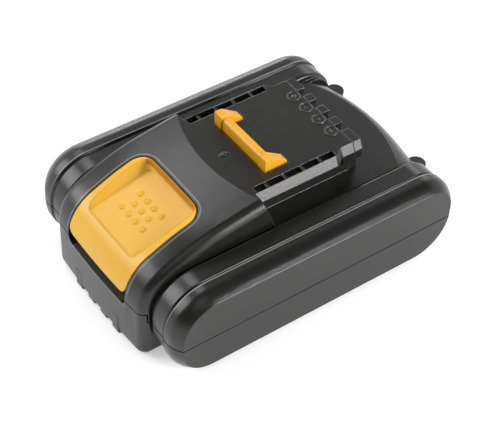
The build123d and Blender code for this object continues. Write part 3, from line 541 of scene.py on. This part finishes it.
@dataclass(frozen=True)
class HousingPlastic(MouldedPlastic):
    """Housing skin with painted highlights on the lip round the opening of the button, the wall edge below it
    and the wing caps, and with the seam of the shell.
    """

    opening_half: float = 0.0155
    opening_rear: float = -0.0255
    opening_corner: float = 0.0054
    reach: float = 0.05
    lip_distance: float = 0.00075
    lip_edges: tuple[float, float] = (0.0001, 0.0003)
    lip_foot: tuple[float, float] = (0.0195, 0.0215)
    lip_highlight_share: float = 0.6
    crest: float = 0.03135
    crest_foot: tuple[float, float] = (0.016, 0.030)
    line_edges: tuple[float, float] = (0.00008, 0.00026)
    wall_top: float = 0.01542
    wall_depth: float = 0.0005
    wall_highlight_share: float = 0.5
    seam_side: float = 0.01482
    seam_nose: float = 0.01802
    seam_width: float = 0.00017
    nose_half: float = 0.0239
    nose_front: float = -0.0497

    def painted_highlight(self, recipe: Recipe) -> Value:
        """Paints highlights on the lip of the opening, the edge of the wall below it and the inner edge of each
        wing cap.

        Args:
            recipe: material in the making.

        Returns:
            One on the lines.
        """
        centre = (0.0, self.opening_rear - self.reach)
        outside = recipe.rounded_box(centre, (self.opening_half, self.reach), self.opening_corner)
        high = recipe.axis(2).ramp(*self.lip_foot)
        lip = abs(outside - self.lip_distance).fade(*self.lip_edges) * high * self.lip_highlight_share
        beside = abs(abs(recipe.axis(0)) - self.crest)
        edge = beside.fade(*self.line_edges) * recipe.axis(2).ramp(*self.crest_foot)
        within = (self.opening_half - abs(recipe.axis(0))).above(0.0)
        front = within * (self.nose_front - recipe.axis(1)).above(self.wall_depth)
        wall = abs(recipe.axis(2) - self.wall_top).fade(*self.line_edges) * front * self.wall_highlight_share
        return lip.most(edge).most(wall)

    def dark(self, recipe: Recipe) -> Value:
        """Draws the stepped joint between the two housings.

        Args:
            recipe: material in the making.

        Returns:
            One in the joint.
        """
        ahead = (self.nose_front - recipe.axis(1)).above(0.0)
        nose = (self.nose_half - abs(recipe.axis(0))).above(0.0) * ahead
        level = nose * (self.seam_nose - self.seam_side) + self.seam_side
        return abs(recipe.axis(2) - level).fade(self.seam_width, self.seam_width * 2)


@dataclass(frozen=True)
class ButtonPlastic(MouldedPlastic):
    """Button skin whose pan runs softly from its floor into its walls, with painted shade on the upper rear
    wall and a painted highlight stripe at its foot.
    """

    rounding: float = 0.0004
    pan_rounding: float = 0.0011
    bump_rounding: float = 0.00012
    pan_centre: tuple[float, float] = (0.0, -0.0370)
    pan_half: tuple[float, float] = (0.0128, 0.0112)
    pan_corner: float = 0.003
    pan_fade: float = 0.0008
    bumps_half: tuple[float, float] = (0.0075, 0.0052)
    bumps_fade: float = 0.0015
    wall_y: float = -0.0266
    wall_reach: tuple[float, float] = (0.0007, 0.0011)
    wall_half: float = 0.0118
    wall_fade: float = 0.0015
    highlight_foot: tuple[float, float] = (0.0342, 0.0348)
    highlight_top: tuple[float, float] = (0.0354, 0.0364)
    highlight_share: float = 0.55
    shade_foot: tuple[float, float] = (0.0354, 0.0368)
    shade_top: tuple[float, float] = (0.0381, 0.0387)
    shade_share: float = 0.95
    # Painted shade colour for the upper rear wall of the pan.
    shadow: Colour = (0.50, 0.20, 0.004)
    # Painted highlight colour for the stripe at the foot of that wall.
    glint: Colour = (0.95, 0.66, 0.26)

    def corner(self, recipe: Recipe) -> Value:
        """Rounds widely inside the pan, narrowly outside and hardly at all on the bumps.

        Args:
            recipe: material in the making.

        Returns:
            The radius, in metres.
        """
        pan = recipe.rounded_box(self.pan_centre, self.pan_half, self.pan_corner)
        inside = pan.fade(0.0, self.pan_fade)
        bumps = recipe.rounded_box(self.pan_centre, self.bumps_half, self.pan_corner)
        clear = bumps.ramp(0.0, self.bumps_fade)
        plain = (1.0 - inside * (1.0 - clear)) * self.rounding
        return inside * clear * self.pan_rounding + plain + self.bump_rounding

    def band(self, recipe: Recipe, foot: tuple[float, float], top: tuple[float, float]) -> Value:
        """Marks a band on the rear wall of the pan.

        Args:
            recipe: material in the making.
            foot: heights at which it starts and is full.
            top: heights at which it starts to fade and is gone.

        Returns:
            One on the band.
        """
        across = abs(recipe.axis(0)).fade(self.wall_half, self.wall_half + self.wall_fade)
        wall = abs(recipe.axis(1) - self.wall_y).fade(*self.wall_reach) * across
        height = recipe.axis(2)
        return wall * height.ramp(*foot) * height.fade(*top)

    def painted_highlight(self, recipe: Recipe) -> Value:
        """Paints a highlight stripe along the foot of the rear wall.

        Args:
            recipe: material in the making.

        Returns:
            How strong the painted highlight is.
        """
        return self.band(recipe, self.highlight_foot, self.highlight_top) * self.highlight_share

    def dark(self, recipe: Recipe) -> Value:
        """Paints shade on the upper part of the rear wall, which faces away from the light.

        Args:
            recipe: material in the making.

        Returns:
            How deep the painted shade is.
        """
        return self.band(recipe, self.shade_foot, self.shade_top) * self.shade_share


@dataclass(frozen=True)
class PlainMetal:
    """Rolled, plated or drawn metal with fine marks along one direction."""

    name: str
    slot: str
    colour: Colour
    tarnish: Colour
    roughness: float
    stretch: tuple[float, float, float] = (1.0, 12.0, 1.0)
    grain: float = 0.0008
    rounding: float = 0.00015
    mark_detail: float = 3.0
    mark_depth: float = 0.00001
    mark_strength: float = 0.3
    mark_rough: float = 0.12
    stain_scale: float = 8
    stain_edges: tuple[float, float] = (0.45, 0.75)
    stain_share: float = 0.6
    stain_rough: float = 0.08
    mean_rough: float = 0.1

    def make(self) -> bpy.types.Material:
        """Builds the material.

        Returns:
            The finished material.
        """
        recipe = Recipe.finish(self.name)
        marks = recipe.noise(self.grain, self.mark_detail, self.stretch)
        stains = recipe.noise(self.grain * self.stain_scale)
        colour = recipe.blend(stains.ramp(*self.stain_edges) * self.stain_share, self.colour, self.tarnish)
        rough = marks * self.mark_rough + stains * self.stain_rough + (self.roughness - self.mean_rough)
        normal = recipe.relief(marks, self.mark_depth, self.mark_strength, recipe.rounded(self.rounding))
        return recipe.surface(
            {"Base Color": colour, "Roughness": rough, "Normal": normal},
            {"Metallic": 1.0},
        )


@dataclass(frozen=True)
class SoftSheet:
    """Card, foam or rubber with an even grain."""

    name: str
    slot: str
    colour: Colour
    shade: Colour
    roughness: float
    grain: float = 0.0006
    depth: float = 0.0001
    rounding: float = 0.0001
    pore_edges: tuple[float, float] = (0.2, 0.7)
    pore_share: float = 0.5
    pore_strength: float = 0.6
    cloud_scale: float = 10
    cloud_share: float = 0.3
    cloud_rough: float = 0.1
    mean_rough: float = 0.05

    def make(self) -> bpy.types.Material:
        """Builds the material.

        Returns:
            The finished material.
        """
        recipe = Recipe.finish(self.name)
        pores = recipe.cells(self.grain)
        clouds = recipe.noise(self.grain * self.cloud_scale)
        share = pores.ramp(*self.pore_edges) * self.pore_share + clouds * self.cloud_share
        colour = recipe.blend(share, self.colour, self.shade)
        rough = clouds * self.cloud_rough + (self.roughness - self.mean_rough)
        normal = recipe.relief(pores, self.depth, self.pore_strength, recipe.rounded(self.rounding))
        return recipe.surface({"Base Color": colour, "Roughness": rough, "Normal": normal}, {})


@dataclass(frozen=True)
class BoardLacquer:
    """Lacquered circuit board with tracks showing through."""

    name: str = "board_lacquer"
    slot: str = "board"
    lacquer: Colour = (0.01, 0.09, 0.035)
    track: Colour = (0.02, 0.19, 0.06)
    pitch: float = 0.0032
    run: float = 0.0096
    track_gap: float = 0.000384
    stagger: float = 0.5
    softness: float = 0.3
    cloud_grain: float = 0.004
    cloud_rough: float = 0.1
    track_rough: float = 0.08
    roughness: float = 0.22
    depth: float = 0.00006
    strength: float = 0.5
    rounding: float = 0.0001
    coat: float = 0.3

    def make(self) -> bpy.types.Material:
        """Builds the material.

        Returns:
            The finished material.
        """
        recipe = Recipe.finish(self.name)
        inputs = {
            "Vector": recipe.place(),
            "Scale": 1.0,
            "Brick Width": self.run,
            "Row Height": self.pitch,
            "Mortar Size": self.track_gap,
            "Mortar Smooth": self.softness,
        }
        bricks = recipe.node("ShaderNodeTexBrick", {"offset": self.stagger}, inputs)
        tracks = Value(recipe, bricks.outputs["Fac"])
        clouds = recipe.noise(self.cloud_grain)
        colour = recipe.blend(tracks, self.track, self.lacquer)
        rough = clouds * self.cloud_rough + tracks * self.track_rough + self.roughness
        normal = recipe.relief(1.0 - tracks, self.depth, self.strength, recipe.rounded(self.rounding))
        return recipe.surface(
            {"Base Color": colour, "Roughness": rough, "Normal": normal},
            {"Coat Weight": self.coat},
        )


@dataclass(frozen=True)
class FloorFinish:
    """Pale studio floor that keeps the shadow."""

    name: str = "studio_floor"
    colour: Colour = (0.86, 0.86, 0.86)
    lift: float = 0.42

    def make(self) -> bpy.types.Material:
        """Builds the material.

        Returns:
            The finished material.
        """
        recipe = Recipe.finish(self.name)
        paper = recipe.node("ShaderNodeBsdfDiffuse", None, {"Color": (*self.colour, 1.0)})
        glow = recipe.node("ShaderNodeEmission", None, {"Strength": recipe.backdrop_rays() * self.lift})
        both = recipe.node("ShaderNodeAddShader", None, {0: paper.outputs[0], 1: glow.outputs[0]})
        recipe.node("ShaderNodeOutputMaterial", None, {"Surface": both.outputs[0]})
        return recipe.owner


INK = (0.0050, 0.0050, 0.0044)
WORN_INK = (0.0160, 0.0160, 0.0144)
# The edge colours given below paint highlights along the edges of the housing, the comb and the sill.
HOUSING = HousingPlastic(
    "housing_skin", "housing_plastic", INK, WORN_INK, 0.30, grain=0.0004, depth=0.00007,
    edge_highlight=(0.10, 0.10, 0.097),
)
GUIDE = MouldedPlastic(
    "guide_skin", "guide_plastic", INK, WORN_INK, 0.30, grain=0.0004, depth=0.00007,
    edge_highlight=(0.16, 0.16, 0.155),
)
SILL = MouldedPlastic(
    "sill_skin", "housing_plastic", (0.0030, 0.0030, 0.0028), (0.0060, 0.0060, 0.0055), 0.30,
    edge_highlight=(0.20, 0.20, 0.19),
)
BUTTON = ButtonPlastic("button_skin", "button_plastic", (0.80, 0.43, 0.022), (0.85, 0.47, 0.032), 0.36)
HOOK = MouldedPlastic(
    "hook_skin", "latch_plastic", (0.80, 0.37, 0.012), (0.84, 0.41, 0.020), 0.38, rounding=0.0004
)
BRACKET = MouldedPlastic("bracket_skin", "bracket_plastic", (0.02, 0.02, 0.02), (0.03, 0.03, 0.03), 0.45)
HOLDER = MouldedPlastic("holder_skin", "holder_plastic", (0.025, 0.025, 0.027), (0.04, 0.04, 0.04), 0.5)
TERMINAL = MouldedPlastic("terminal_skin", "terminal_plastic", (0.02, 0.02, 0.02), (0.03, 0.03, 0.03), 0.42)
CHIP = MouldedPlastic(
    "chip_epoxy", "chip_black", (0.012, 0.012, 0.012), (0.02, 0.02, 0.02), 0.5, grain=0.0002
)
SLEEVE = MouldedPlastic(
    "sleeve_film", "sleeve_film", (0.014, 0.055, 0.10), (0.022, 0.07, 0.12), 0.25, grain=0.0006, depth=0.00002
)
BEAD = MouldedPlastic("bead_epoxy", "bead", (0.03, 0.02, 0.01), (0.05, 0.03, 0.02), 0.25)
SPRING = PlainMetal("spring_wire", "spring_steel", (0.55, 0.55, 0.56), (0.35, 0.34, 0.33), 0.3)
CAN = PlainMetal("cell_can", "can_steel", (0.6, 0.61, 0.62), (0.45, 0.44, 0.42), 0.32)
NICKEL = PlainMetal("nickel_strip", "nickel", (0.62, 0.6, 0.56), (0.45, 0.42, 0.38), 0.34)
SHUNT = PlainMetal("shunt_strip", "shunt_metal", (0.5, 0.46, 0.42), (0.3, 0.27, 0.24), 0.4)
CONTACT = PlainMetal("contact_strip", "contact_metal", (0.78, 0.7, 0.52), (0.5, 0.4, 0.22), 0.28)
SCREW = PlainMetal(
    "screw_plating", "screw_steel", (0.35, 0.35, 0.35), (0.2, 0.2, 0.2), 0.35, (1.0, 1.0, 8.0)
)
RING = SoftSheet("ring_fibre", "ring_card", (0.75, 0.75, 0.72), (0.6, 0.6, 0.56), 0.7)
SHEET = SoftSheet("sheet_fibre", "sheet_card", (0.62, 0.66, 0.5), (0.5, 0.53, 0.4), 0.7)
FOAM = SoftSheet("foam_strip", "foam", (0.03, 0.03, 0.032), (0.012, 0.012, 0.012), 0.95, 0.0005, 0.0003)
RED = SoftSheet(
    "positive_insulation", "red_wire", (0.45, 0.015, 0.012), (0.35, 0.01, 0.01), 0.45, 0.0009, 0.00003
)
BLACK = SoftSheet(
    "negative_insulation", "black_wire", (0.015, 0.015, 0.015), (0.03, 0.03, 0.03), 0.45, 0.0009, 0.00003
)
PALE = SoftSheet(
    "sense_insulation", "sense_wire", (0.6, 0.6, 0.55), (0.5, 0.5, 0.45), 0.45, 0.0009, 0.00003
)
BOARD = BoardLacquer()
Finish = MouldedPlastic | PlainMetal | SoftSheet | BoardLacquer


def bevel(shape: bmesh.types.BMesh, lines: list[bmesh.types.BMEdge], offset: float, segments: int) -> None:
    """Bevels edges.

    Args:
        shape: mesh they belong to.
        lines: the edges.
        offset: width of the bevel on each side, in metres.
        segments: facets across it.
    """
    bmesh.ops.bevel(
        shape, geom=lines, offset=offset, offset_type="OFFSET", segments=segments, profile=0.5,
        affect="EDGES", clamp_overlap=True, material=-1,
    )


@dataclass
class Dresser:
    """Puts finishes on the frame's nodes, on refined copies of them and on new pieces."""

    made: dict[str, bpy.types.Material] = field(default_factory=dict)
    plate_level: float = 0.040
    plate_slack: float = 0.00001
    plate_flatness: float = 0.9999
    flat_area: float = 0.000004
    flat_lead: float = 4
    merge_gap: float = 0.000002
    sliver: float = 0.000001
    flat_angle: float = 0.4

    def finish(self, finish: Finish) -> bpy.types.Material:
        """Gives the material of a finish, built once.

        Args:
            finish: the finish.

        Returns:
            Its material.
        """
        if finish.name not in self.made:
            self.made[finish.name] = finish.make()
        return self.made[finish.name]

    def paint(self, node: str, finish: Finish) -> None:
        """Gives a node of the frame its finish.

        Args:
            node: name of the node.
            finish: its finish.
        """
        piece = NODES[node]
        material = self.finish(finish)
        if not piece.material_slots:
            piece.data.materials.append(material)
        for slot in piece.material_slots:
            slot.material = material
        log.info("painted %s with %s", node, finish.name)

    def shade(self, shape: bmesh.types.BMesh, crease: float) -> None:
        """Shades the faces smooth and keeps the sharper edges.

        Args:
            shape: mesh.
            crease: angle in degrees above which an edge stays sharp.
        """
        for face in shape.faces:
            face.smooth = True
        for line in shape.edges:
            line.smooth = line.calc_face_angle(math.pi) < math.radians(crease)

    def mesh(self, shape: bmesh.types.BMesh, name: str) -> bpy.types.Mesh:
        """Turns a finished bmesh into a mesh.

        Args:
            shape: bmesh, freed here.
            name: name of the mesh.

        Returns:
            The mesh.
        """
        made = bpy.data.meshes.new(name)
        shape.to_mesh(made)
        shape.free()
        return made

    def place(self, mesh: bpy.types.Mesh, finish: Finish, body: Body) -> bpy.types.Object:
        """Makes a piece with its finish and body.

        Args:
            mesh: its mesh, which gives it its name.
            finish: its finish.
            body: body it rides on.

        Returns:
            The piece.
        """
        piece = bpy.data.objects.new(mesh.name, mesh)
        bpy.context.scene.collection.objects.link(piece)
        piece.data.materials.clear()
        piece.data.materials.append(self.finish(finish))
        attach(piece, body.value)
        log.info("made %s", piece.name)
        return piece

    def crease_plate(self, shape: bmesh.types.BMesh) -> None:
        """Keeps the edge sharp where the flat plate meets the crowned slope.

        Args:
            shape: mesh of a piece.
        """
        for line in shape.edges:
            level = all(abs(corner.co.z - self.plate_level) < self.plate_slack for corner in line.verts)
            flats = sum(face.normal.z > self.plate_flatness for face in line.link_faces)
            if level and flats == 1:
                line.smooth = False

    def even_normals(self, shape: bmesh.types.BMesh) -> list[Vector]:
        """Works out normals that stay true on flat faces and run evenly over rounded ones.

        Args:
            shape: mesh whose sharp edges are marked.

        Returns:
            One normal for each corner, in the order of the mesh.
        """
        shape.faces.index_update()
        found: dict[tuple[int, int], Vector] = {}
        for point in shape.verts:
            waiting = list(point.link_faces)
            while waiting:
                fan = [waiting.pop(0)]
                for face in fan:
                    for line in face.edges:
                        if point in line.verts and line.smooth:
                            joined = [other for other in line.link_faces if other in waiting]
                            waiting = [other for other in waiting if other not in joined]
                            fan.extend(joined)
                areas = sorted((face.calc_area(), place) for place, face in enumerate(fan))
                largest = fan[areas[-1][1]]
                rest = areas[-2][0] if len(areas) > 1 else 0.0
                if areas[-1][0] > self.flat_area and areas[-1][0] > self.flat_lead * rest:
                    normal = largest.normal.copy()
                else:
                    normal = Vector()
                    for face in fan:
                        corner = next(loop for loop in face.loops if loop.vert == point)
                        normal += face.normal * corner.calc_angle()
                    normal.normalize()
                for face in fan:
                    found[(face.index, point.index)] = normal
        return [found[(face.index, loop.vert.index)] for face in shape.faces for loop in face.loops]

    def refine(
        self,
        node: str,
        name: str,
        finish: MouldedPlastic,
        body: Body,
        shaping: Shaping | None = None,
        crease: float = 28.0,
    ) -> bpy.types.Object:
        """Makes a smooth copy of a node with its triangles merged.

        Args:
            node: node of the frame that the piece stands for.
            name: name of the piece.
            finish: its finish.
            body: body it rides on.
            shaping: work on the merged mesh before it is shaded.
            crease: angle in degrees above which an edge stays sharp.

        Returns:
            The piece.
        """
        shape = bmesh.new()
        shape.from_mesh(NODES[node].data)
        bmesh.ops.remove_doubles(shape, verts=shape.verts, dist=self.merge_gap)
        bmesh.ops.dissolve_degenerate(shape, edges=shape.edges, dist=self.sliver)
        flat = math.radians(self.flat_angle)
        bmesh.ops.dissolve_limit(shape, angle_limit=flat, verts=shape.verts, edges=shape.edges)
        if shaping:
            shaping(shape)
        self.shade(shape, crease)
        self.crease_plate(shape)
        normals = self.even_normals(shape)
        mesh = self.mesh(shape, name)
        mesh.normals_split_custom_set(normals)
        piece = self.place(mesh, finish, body)
        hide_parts(node)
        return piece


@dataclass
class Shell:
    """Both housings, the comb at the rear of the rail, the dial on the plate and the sill."""

    dresser: Dresser
    crease: float = 30
    dial_y: float = -0.0088
    dial_radius: float = 0.0011
    dial_rise: float = 0.00022
    dial_steps: int = 40
    dial_profile: tuple[tuple[float, float], ...] = (
        (0.0, 1.0),
        (0.5, 1.0),
        (0.62, 0.2),
        (0.78, 0.2),
        (0.86, 1.0),
        (1.0, 0.7),
        (1.0, -1.0),
        (0.0, -1.0),
    )
    pointer_foot: float = 0.42
    pointer_tip: float = 0.34
    pointer_rise: float = 1.2
    weld: float = 0.0000005
    plate_z: float = 0.040
    sill_half: float = 0.0139
    sill_round: float = 0.00012
    sill_profile: tuple[tuple[float, float], ...] = (
        (-0.0500, 0.0150),
        (-0.0486, 0.0150),
        (-0.0486, 0.01572),
        (-0.0490, 0.01572),
        (-0.0490, 0.0152),
        (-0.0496, 0.0152),
        (-0.0496, 0.01572),
        (-0.0500, 0.01572),
    )

    def sill(self) -> None:
        """Makes the grooved sill inside the lower edge of the opening."""
        shape = bmesh.new()
        outline = shape.faces.new([shape.verts.new((-self.sill_half, y, z)) for y, z in self.sill_profile])
        drawn = bmesh.ops.extrude_face_region(shape, geom=[outline])
        moved = [part for part in drawn["geom"] if isinstance(part, bmesh.types.BMVert)]
        bmesh.ops.translate(shape, verts=moved, vec=(2 * self.sill_half, 0.0, 0.0))
        bmesh.ops.recalc_face_normals(shape, faces=shape.faces)
        bevel(shape, shape.edges[:], self.sill_round, 2)
        self.dresser.shade(shape, self.crease)
        self.dresser.place(self.dresser.mesh(shape, "opening_sill"), SILL, Body.PACK)

    def dial(self) -> None:
        """Makes the domed dial inside the ring groove, with a pointer on it."""
        shape = bmesh.new()
        rim = self.dial_radius
        rise = self.dial_rise
        points = [shape.verts.new((x * rim, 0.0, z * rise)) for x, z in self.dial_profile]
        lines = [shape.edges.new(pair) for pair in zip(points, points[1:])]
        bmesh.ops.spin(
            shape, geom=points + lines, cent=(0.0, 0.0, 0.0), axis=(0.0, 0.0, 1.0), angle=math.tau,
            steps=self.dial_steps, use_merge=True,
        )
        bmesh.ops.remove_doubles(shape, verts=shape.verts, dist=self.weld)
        lift = rise * self.pointer_rise
        pointer = bmesh.ops.create_cone(
            shape, cap_ends=True, segments=3, radius1=rim * self.pointer_foot, radius2=rim * self.pointer_tip,
            depth=lift,
        )
        bmesh.ops.translate(shape, verts=pointer["verts"], vec=(0.0, 0.0, lift))
        bmesh.ops.recalc_face_normals(shape, faces=shape.faces)
        bmesh.ops.translate(shape, verts=shape.verts, vec=(0.0, self.dial_y, self.plate_z))
        self.dresser.shade(shape, self.crease)
        self.dresser.place(self.dresser.mesh(shape, "moulding_dial"), GUIDE, Body.PACK)

    def build(self) -> None:
        """Makes the pieces of the shell."""
        self.dresser.refine("lower_housing", "shell_lower", HOUSING, Body.PACK)
        self.dresser.refine("upper_housing", "shell_upper", HOUSING, Body.PACK)
        self.dresser.refine("contact_guide", "shell_comb", GUIDE, Body.PACK)
        self.dial()
        self.sill()


@dataclass
class Latch:
    """Thumb button, frame with its hook, bracket and springs."""

    dresser: Dresser
    hook_foot: float = 0.0383
    hook_round: float = 0.00022
    outer_angle: float = 20
    bar_top: float = 0.0434
    bar_slack: float = 0.00002
    bar_front: float = -0.0025
    bar_chamfer: float = 0.0006

    def soften_hook(self, shape: bmesh.types.BMesh) -> None:
        """Chamfers the bar of the hook and rounds its outer edges.

        Args:
            shape: mesh of the latch frame.
        """
        bar = [
            line
            for line in shape.edges
            if all(abs(end.co.z - self.bar_top) < self.bar_slack for end in line.verts)
            and all(end.co.y < self.bar_front for end in line.verts)
        ]
        log.info("hook bar has %d front edges", len(bar))
        bevel(shape, bar, self.bar_chamfer, 1)
        edges = [
            line
            for line in shape.edges
            if line.is_convex
            and line.calc_face_angle(0.0) > math.radians(self.outer_angle)
            and min(corner.co.z for corner in line.verts) > self.hook_foot
        ]
        log.info("hook has %d outer edges", len(edges))
        bevel(shape, edges, self.hook_round, 2)

    def build(self) -> None:
        """Makes the pieces of the latch."""
        self.dresser.refine("release_button", "button_shell", BUTTON, Body.LATCH)
        self.dresser.refine("latch_frame", "hook_frame", HOOK, Body.LATCH, self.soften_hook)
        self.dresser.paint("latch_bracket", BRACKET)
        for node in ("latch_spring_left", "latch_spring_right"):
            self.dresser.paint(node, SPRING)


@dataclass
class CellPack:
    """Cells with their sleeves, holders, straps and packing."""

    dresser: Dresser
    cells: int = 5

    def build(self) -> None:
        """Paints the pieces of the cell pack."""
        for index in range(self.cells):
            self.dresser.paint(f"cell_{index + 1}", CAN)
        self.dresser.paint("cell_sleeves", SLEEVE)
        self.dresser.paint("cell_end_rings", RING)
        for node in ("holder_left", "holder_right"):
            self.dresser.paint(node, HOLDER)
        for node in NODES:
            if node.startswith("strap_"):
                self.dresser.paint(node, NICKEL)
        for node in ("insulator_left", "insulator_right"):
            self.dresser.paint(node, SHEET)
        self.dresser.paint("foam_pads", FOAM)


@dataclass
class Electronics:
    """Circuit board, its parts, the terminal block, contacts and leads."""

    dresser: Dresser

    def build(self) -> None:
        """Paints the electric pieces."""
        self.dresser.paint("circuit_board", BOARD)
        self.dresser.paint("controller_chip", CHIP)
        self.dresser.paint("power_transistors", CHIP)
        self.dresser.paint("shunt_resistor", SHUNT)
        self.dresser.paint("terminal_block", TERMINAL)
        for role in ("positive", "negative", "temperature", "data"):
            self.dresser.paint(f"contact_{role}", CONTACT)
        self.dresser.paint("thermistor", BEAD)
        self.dresser.paint("positive_lead", RED)
        self.dresser.paint("negative_lead", BLACK)
        self.dresser.paint("sense_leads", PALE)
        for node in ("housing_screws", "board_screws"):
            self.dresser.paint(node, SCREW)


@dataclass(frozen=True)
class SoftBox:
    """Rectangular lamp that looks at the pack, in metres and watts."""

    name: str
    direction: tuple[float, float, float]
    size: tuple[float, float]
    power: float
    reach: float = 0.9

    def build(self) -> None:
        """Adds the lamp."""
        data = bpy.data.lights.new(self.name, "AREA")
        data.shape = "RECTANGLE"
        data.size, data.size_y = self.size
        data.energy = self.power
        placed = bpy.data.objects.new(self.name, data)
        towards = Vector(self.direction).normalized()
        turned = towards.to_track_quat("Z", "Y").to_matrix().to_4x4()
        placed.matrix_world = Matrix.Translation(towards * self.reach) @ turned
        bpy.context.scene.collection.objects.link(placed)


@dataclass
class Studio:
    """Floor, lamps, world and camera."""

    azimuth: float = 52.85
    elevation: float = 44.85
    roll: float = 2.77
    distance: float = 0.4340
    aim: tuple[float, float, float] = (0.0, 0.0, 0.0153)
    focal_pixels: float = 1432.5
    image_width: float = 500.0
    image_height: float = 426.0
    centre_pixel: tuple[float, float] = (245.2, 202.6)
    sensor: float = 36.0
    near_clip: float = 0.01
    floor_drop: float = 0.0001
    fill: float = 0.26
    ceiling_edges: tuple[float, float] = (0.45, 0.8)
    ceiling_shade: float = 0.92
    near_edges: tuple[float, float] = (-0.35, 0.45)
    near_rise: tuple[float, float] = (0.03, 0.2)
    near_shade: float = 0.9
    floor_half: float = 2.5
    lamps: tuple[SoftBox, ...] = (
        SoftBox("lamp_right", (0.83, 0.42, 0.39), (0.25, 0.5), 8.5),
        SoftBox("lamp_left", (-0.565, -0.62, 0.54), (0.46, 0.56), 4.5),
        SoftBox("lamp_slope", (-0.57, 0.02, 0.82), (0.3, 0.26), 1.4),
        SoftBox("lamp_rear", (-0.45, 0.74, 0.50), (0.25, 0.25), 0.5),
        SoftBox("lamp_rim", (-0.88, 0.42, 0.20), (0.3, 0.12), 0.9),
        SoftBox("lamp_top", (0.35, -0.25, 0.90), (0.5, 0.5), 0.7),
    )

    def camera(self) -> None:
        """Places the camera where the photograph was taken from."""
        turn = math.radians(self.azimuth)
        rise = math.radians(self.elevation)
        back = Vector((math.sin(turn) * math.cos(rise), -math.cos(turn) * math.cos(rise), math.sin(rise)))
        right = Vector((0.0, 0.0, 1.0)).cross(back).normalized()
        up = back.cross(right)
        lean = math.radians(self.roll)
        turned_right = right * math.cos(lean) + up * math.sin(lean)
        turned_up = up * math.cos(lean) - right * math.sin(lean)
        data = bpy.data.cameras.new("camera")
        data.sensor_width = self.sensor
        data.lens = self.focal_pixels / self.image_width * self.sensor
        data.shift_x = (self.image_width / 2 - self.centre_pixel[0]) / self.image_width
        data.shift_y = (self.centre_pixel[1] - self.image_height / 2) / self.image_width
        data.clip_start = self.near_clip
        placed = bpy.data.objects.new("camera", data)
        basis = Matrix((turned_right, turned_up, back)).transposed().to_4x4()
        placed.matrix_world = Matrix.Translation(Vector(self.aim) + back * self.distance) @ basis
        bpy.context.scene.collection.objects.link(placed)
        bpy.context.scene.camera = placed

    def world(self) -> None:
        """Makes a room with a white backdrop, a dim ceiling and a dim near side; its light is even."""
        world = bpy.data.worlds.new("studio")
        bpy.context.scene.world = world
        recipe = Recipe(world)
        coords = recipe.node("ShaderNodeTexCoord")
        split = recipe.node("ShaderNodeSeparateXYZ", None, {0: coords.outputs["Generated"]})
        east, north, high = (Value(recipe, output) for output in split.outputs)
        turn = math.radians(self.azimuth)
        nearness = (east * math.sin(turn) - north * math.cos(turn)).ramp(*self.near_edges)
        near = nearness * high.ramp(*self.near_rise) * self.near_shade
        ceiling = high.ramp(*self.ceiling_edges) * self.ceiling_shade
        white = (1.0, 1.0, 1.0, 1.0)
        room = recipe.node("ShaderNodeBackground", None, {"Color": white, "Strength": self.fill})
        shade = (1.0 - ceiling) * (1.0 - near)
        wall = recipe.node("ShaderNodeBackground", None, {"Color": white, "Strength": shade})
        rays = recipe.backdrop_rays()
        mix = recipe.node("ShaderNodeMixShader", None, {0: rays, 1: room.outputs[0], 2: wall.outputs[0]})
        recipe.node("ShaderNodeOutputWorld", None, {"Surface": mix.outputs[0]})

    def floor(self) -> None:
        """Lays the pale floor under the pack."""
        shape = bmesh.new()
        bmesh.ops.create_grid(shape, x_segments=1, y_segments=1, size=self.floor_half)
        bmesh.ops.translate(shape, verts=shape.verts, vec=(0.0, 0.0, -self.floor_drop))
        mesh = bpy.data.meshes.new("studio_floor")
        shape.to_mesh(mesh)
        shape.free()
        mesh.materials.append(FloorFinish().make())
        plane = bpy.data.objects.new("studio_floor", mesh)
        bpy.context.scene.collection.objects.link(plane)

    def build(self) -> None:
        """Sets up the whole studio."""
        bpy.context.scene.view_settings.view_transform = "Standard"
        self.camera()
        self.world()
        self.floor()
        for lamp in self.lamps:
            lamp.build()


def main() -> None:
    """Builds the pack's pieces and the studio in order."""
    logging.basicConfig(level=logging.INFO, format="%(name)s: %(message)s")
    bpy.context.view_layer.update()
    dresser = Dresser()
    for assembly in (Shell(dresser), Latch(dresser), CellPack(dresser), Electronics(dresser)):
        assembly.build()
    Studio().build()


if __name__ == "__main__":
    main()
